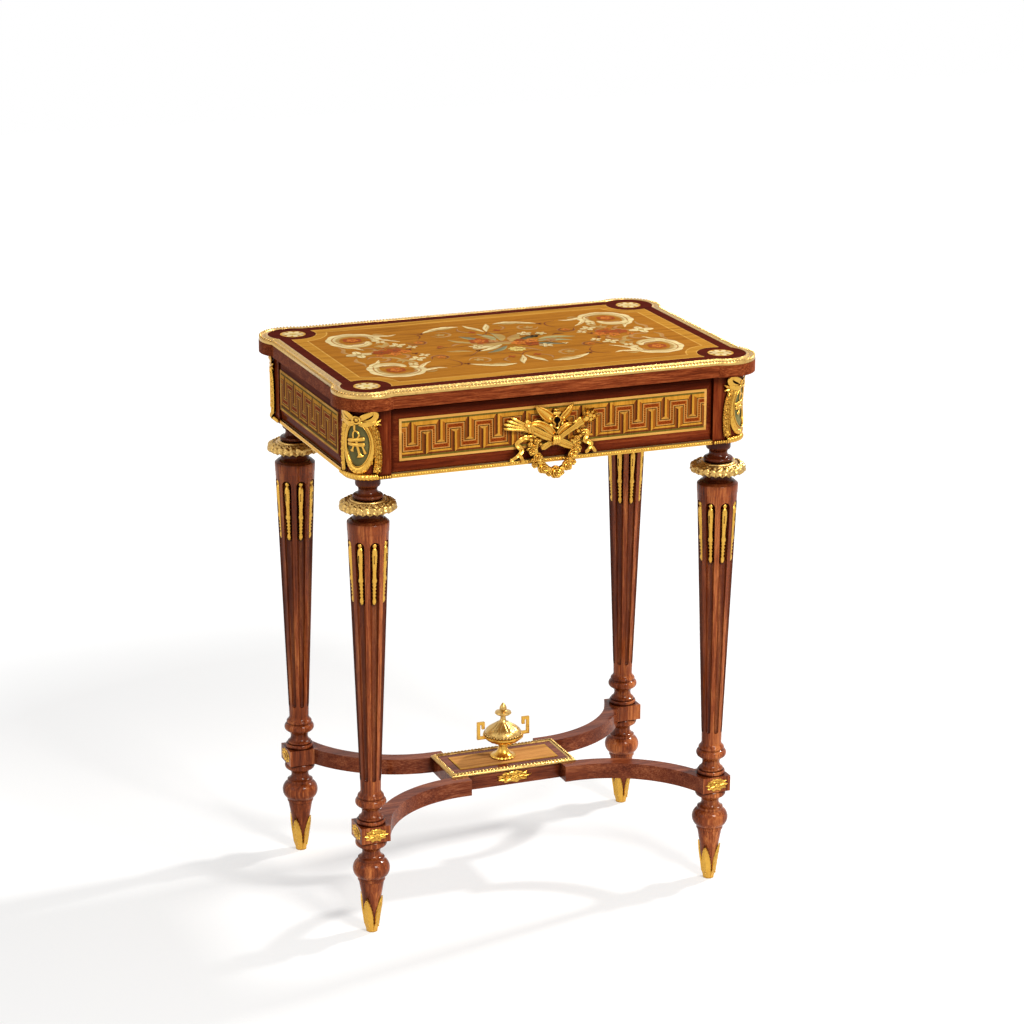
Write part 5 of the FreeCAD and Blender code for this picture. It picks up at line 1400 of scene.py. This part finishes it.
bouquet_flowers = (
    ((-27, 22), 14.5, 6, "rust", "brown", 0.3, 0.75), ((-27, 22), 8.0, 5, "orange", "rust", 0.0, 0.7),
    ((-42, -6), 10.0, 5, "holly", "holly_shade", 0.2, 0.5), ((-47, -27), 4.0, 3, "ebony", "brown", 0.2, 0.8),
    ((4, -36), 11.5, 9, "lemon", "tan", 0.0, 0.6), ((32, -14), 12.0, 6, "rust", "brown", 0.1, 0.8),
    ((18, -6), 10.5, 5, "orange", "rust", 0.4, 0.8), ((38, 1), 10.0, 5, "orange", "brown", 0.2, 0.8),
    ((25, 8), 7.0, 5, "rust", "brown", 0.5, 0.7), ((64, -7), 9.0, 5, "tan", "brown", 0.5, 0.7),
    ((45, 40), 10.0, 5, "holly", "tan", 0.1, 0.6), ((66, 34), 8.0, 5, "holly", "lemon", 0.7, 0.6),
    ((48, -31), 9.5, 5, "holly", "tan", 0.3, 0.5), ((76, -29), 4.5, 3, "holly", "holly_shade", 0.3, 0.6),
    ((52, 22), 6.0, 4, "ebony", "green", 0.3, 0.8), ((-10, 14), 7.0, 6, "tan", "rust", 0.3, 0.7))


def lay_roundel(bm, x, y):
    """A pale roundel in the border: eight petals with dots between them."""
    lay_disc(bm, (x, y), roundel_radius, "string", 2, 32)
    for petal in range(8):
        angle = math.pi * petal / 4
        middle = (x + petal_reach * math.cos(angle), y + petal_reach * math.sin(angle))
        lay_disc(bm, middle, petal_radius, "holly", 3, 12, 0.56, angle)
        angle += math.pi / 8
        middle = (x + dot_reach * math.cos(angle), y + dot_reach * math.sin(angle))
        lay_disc(bm, middle, dot_radius, "brown", 4, 8)
    lay_disc(bm, (x, y), heart_radius, "lemon", 4, 12)


def marquetry_of_top():
    """The border and grounds first, then the quarter's scrolls turned to all four, then the middle."""
    bm = tinted_mesh()
    lay_field(bm, top_plan(border_inset), "kingwood", 1)
    for layer, (half_x, half_y, notch, wood) in enumerate(field_edges):
        lay_field(bm, field_plan(half_x, half_y, notch), wood, 2 + layer)
    for x_side in both_sides:
        for y_side in both_sides:
            lay_roundel(bm, x_side * leg_axis[0], y_side * leg_axis[1])
            for number, (rows, wood, shade, lobes) in enumerate(corner_scrolls):
                turned = [(-x_side * x, -y_side * y, width) for x, y, width in rows]
                lay_spray(bm, turned, wood, shade, 6 + 0.3 * number, lobes, -x_side * y_side)
                if wood == "holly":
                    vein = [(x, y, 0.14 * width) for x, y, width in turned[1:-1]]
                    lay_spray(bm, vein, "tan", "holly_shade", 6.15 + 0.3 * number)
            for number, ((x, y), *rest) in enumerate(corner_flowers):
                lay_flower(bm, (-x_side * x, -y_side * y), *rest, 12.5 + 1.1 * (number == 1))
        for number, ((x, y), *rest) in enumerate(side_flowers):
            lay_flower(bm, (x_side * x, y), *rest, 12.5 + 1.1 * number)
    for number, (rows, wood, shade, lobes) in enumerate(bouquet_sprays):
        lay_spray(bm, rows, wood, shade, 6 + 0.3 * number, lobes)
    for number, flower in enumerate(bouquet_flowers):
        lay_flower(bm, *flower, 12.8 + 0.9 * number)
    return bm


flower_veneers = tinted_veneer("flower_veneers", 0.025, "X")
piece("marquetry_inlay", marquetry_of_top(), flower_veneers, "top", 0.0)


# Stretcher mounts
# A moulding of leaf tips round the platform, pinned from above, a floret on its front and back, and
# inside a mahogany border an oblong of satinwood with a light line.

platform_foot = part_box("platform_rim")[0][2]
platform_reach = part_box("platform_rim")[1][:2]
platform_rows = (
    (0.0, 0.0012), (0.0012, 0.0016), (0.0022, 0.0010), (0.0010, -0.0008), (0.0008, 0.0002), (0.0008, 0.0005),
    (0.0010, -0.0006), (0.0008, -0.0008))
leaf_tip_size = (0.0030, 0.0021, 0.0013)
leaf_tip_inset, leaf_tip_rise, leaf_tip_pitch, leaf_tip_tilt = 0.0030, 0.0032, 0.0050, math.radians(30.0)
long_floret_size = (0.0265, 0.0092, 0.0044)
long_floret_leaves = 9


def oblong(half_x, half_y):
    """The corners of an oblong, with short runs between so that its mouldings keep square."""
    return [(x * half_x, y * half_y) for x, y in ((1, -1), (1, 0), (1, 1), (0, 1), (-1, 1), (-1, 0), (-1, -1), (0, -1))]


def platform_moulding():
    """The rim: stepped rows drawn in from the outline, with leaf tips on its outer round."""
    half_x, half_y = platform_reach
    bm = stepped(oblong(half_x, half_y), platform_foot, platform_rows)
    for place, way in spaced(oblong(half_x - leaf_tip_inset, half_y - leaf_tip_inset), leaf_tip_pitch):
        turn = Matrix.Rotation(math.atan2(-way.x, way.y), 4, "Z") @ Matrix.Rotation(leaf_tip_tilt, 4, "Y")
        stamp(bm, ball, Matrix.Translation((place.x, place.y, platform_foot + leaf_tip_rise)) @ turn
              @ sized(*leaf_tip_size))
    gilt("leaf_tip_rim", bm, "platform_rim", 40.0, pale_gilding)


def platform_rosettes():
    """Florets of pointed leaves on the platform's front and back."""
    long_floret = floret(*long_floret_size, long_floret_leaves)
    bm = bmesh.new()
    for half_turn, corner in enumerate(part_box("platform")):
        turn = spun(half_turn / 2) @ Matrix.Rotation(math.pi / 2, 4, "X")
        stamp(bm, long_floret, Matrix.Translation((0.0, corner[1], block_floret_place[1])) @ turn)
    gilt("platform_rosettes", bm, "platform_florets")


def platform_inlay():
    """The light line let into the platform's satinwood."""
    bm = tinted_mesh()
    half_x, half_y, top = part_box("platform_panel")[1]
    for inset, wood, lift in ((0.0, "string", 0.00005), (0.0022, "satin_pale", 0.00010)):
        face = bm.faces.new([bm.verts.new((x * (half_x - inset), y * (half_y - inset), top + lift)) for x, y in square])
        paint(bm, face.verts, wood)
    piece("platform_veneers", bm, flower_veneers, "case", 0.0)


platform_moulding()
platform_rosettes()
platform_inlay()


# Urn
# A gilt urn screwed to the platform: a gadrooned foot and bowl, a lid of leaves with a pointed
# finial, and two handles of square bar bent as a Greek key.

urn_foot_rows = ((0, 157.4), (16.8, 157.4), (16.8, 158.2), (17.9, 159.6), (16.8, 161.4), (13.6, 162.2))
urn_stem_rows = ((13.6, 162.2), (10.4, 164.2), (7.6, 168), (6, 173.4), (6.2, 175.6), (8, 176.2), (8, 178), (7, 178.6))
urn_bowl_rows = ((7, 178.6), (14.5, 179.8), (20.5, 182), (24.6, 185.4), (26, 188))
urn_edge_rows = ((26, 188), (26.4, 188.4), (28, 188.6), (28, 190.4), (26.8, 191), (25.2, 191.4))
urn_lid_rows = ((25.2, 191.4), (25.3, 193.4), (23.6, 197), (19.4, 201), (13.6, 204.4), (7.6, 208.6))
urn_finial_rows = (
    (7.6, 208.6), (4.2, 211.6), (3.6, 215), (3.8, 219), (9.8, 220.2), (11.6, 222), (10.8, 224.2), (6.4, 225.2),
    (4.6, 226.4), (5, 228.4), (4.8, 230.6), (3, 234), (1.2, 236.2), (0, 236.5))
handle_turns = ((25.0, 189.4), (36.4, 189.4), (36.4, 210.4), (29.6, 210.4), (29.6, 202.0))
handle_bar = 4.2
handle_edge = 0.0004
lid_bead_ring, lid_bead_radius, lid_bead_count = (25.6, 192.4), 0.0016, 36
lid_leaf_count = 10


def turnings(*parts):
    """Several turned parts as one."""
    bm = bmesh.new()
    for part in parts:
        merge(bm, turned_part(*part))
    return bm


def urn_leaf(u, v):
    """A leaf that droops over the lid."""
    line = [Vector(row) for row in urn_lid_rows[::-1][:-1]]
    step = round(v * 8) / 8 * (len(line) - 1)
    low = min(int(step), len(line) - 2)
    here = line[low].lerp(line[low + 1], step - low)
    side = 2 * u - 1
    swell = math.sin(math.pi * (0.2 + 0.8 * v)) ** 0.7 if v < 1 else 0.0
    lift = (0.15 + 0.4 * math.sin(math.pi * abs(side) ** 0.8)) if abs(side) < 1 else -0.3
    return around(here.x + 0.8 * lift, here.y + 0.6 * lift, side * swell * math.pi / 9.4)


def urn_cover():
    """The lid: a dome under drooping leaves, beads at its foot, and the finial."""
    bm = turnings((urn_lid_rows, 56), (urn_finial_rows, 32))
    for number in range(lid_bead_count):
        bead(bm, around(*lid_bead_ring, 2 * math.pi * number / lid_bead_count), lid_bead_radius)
    leaf = kept(bent(6, 8, urn_leaf))
    for number in range(lid_leaf_count):
        stamp(bm, leaf, spun(number / lid_leaf_count))
    return bm


def key_handles():
    """Two handles, each one bar that turns up, in and down."""
    bm = bmesh.new()
    half = handle_bar / 2
    (start, low), (outer, _), (_, high), (inner, _), (_, end) = handle_turns
    outline = ((start, low - half), (outer + half, low - half), (outer + half, high + half),
               (inner - half, high + half), (inner - half, end), (inner + half, end), (inner + half, high - half),
               (outer - half, high - half), (outer - half, low + half), (start, low + half))
    for side in both_sides:
        part = bmesh.new()
        face = part.faces.new([part.verts.new(Vector((side * x, -half, z)) / 1000) for x, z in outline])
        solid = bmesh.ops.extrude_face_region(part, geom=[face])["geom"]
        bmesh.ops.translate(part, vec=(0.0, handle_bar / 1000, 0.0),
                            verts=[one for one in solid if isinstance(one, bmesh.types.BMVert)])
        bmesh.ops.recalc_face_normals(part, faces=part.faces)
        bmesh.ops.bevel(part, geom=part.edges, offset=handle_edge, segments=2, profile=0.5, affect="EDGES", material=-1)
        merge(bm, part)
    return bm


vase = turnings((urn_foot_rows, 72, 24, 0.06), (urn_stem_rows, 40), (urn_bowl_rows, 72, 18, 0.07), (urn_edge_rows, 56))
gilt("urn_vase", vase, "urn_body", 40.0)
gilt("urn_cover", urn_cover(), "urn_lid", 40.0, pale_gilding)
gilt("key_handles", key_handles(), "urn_handles", 40.0)
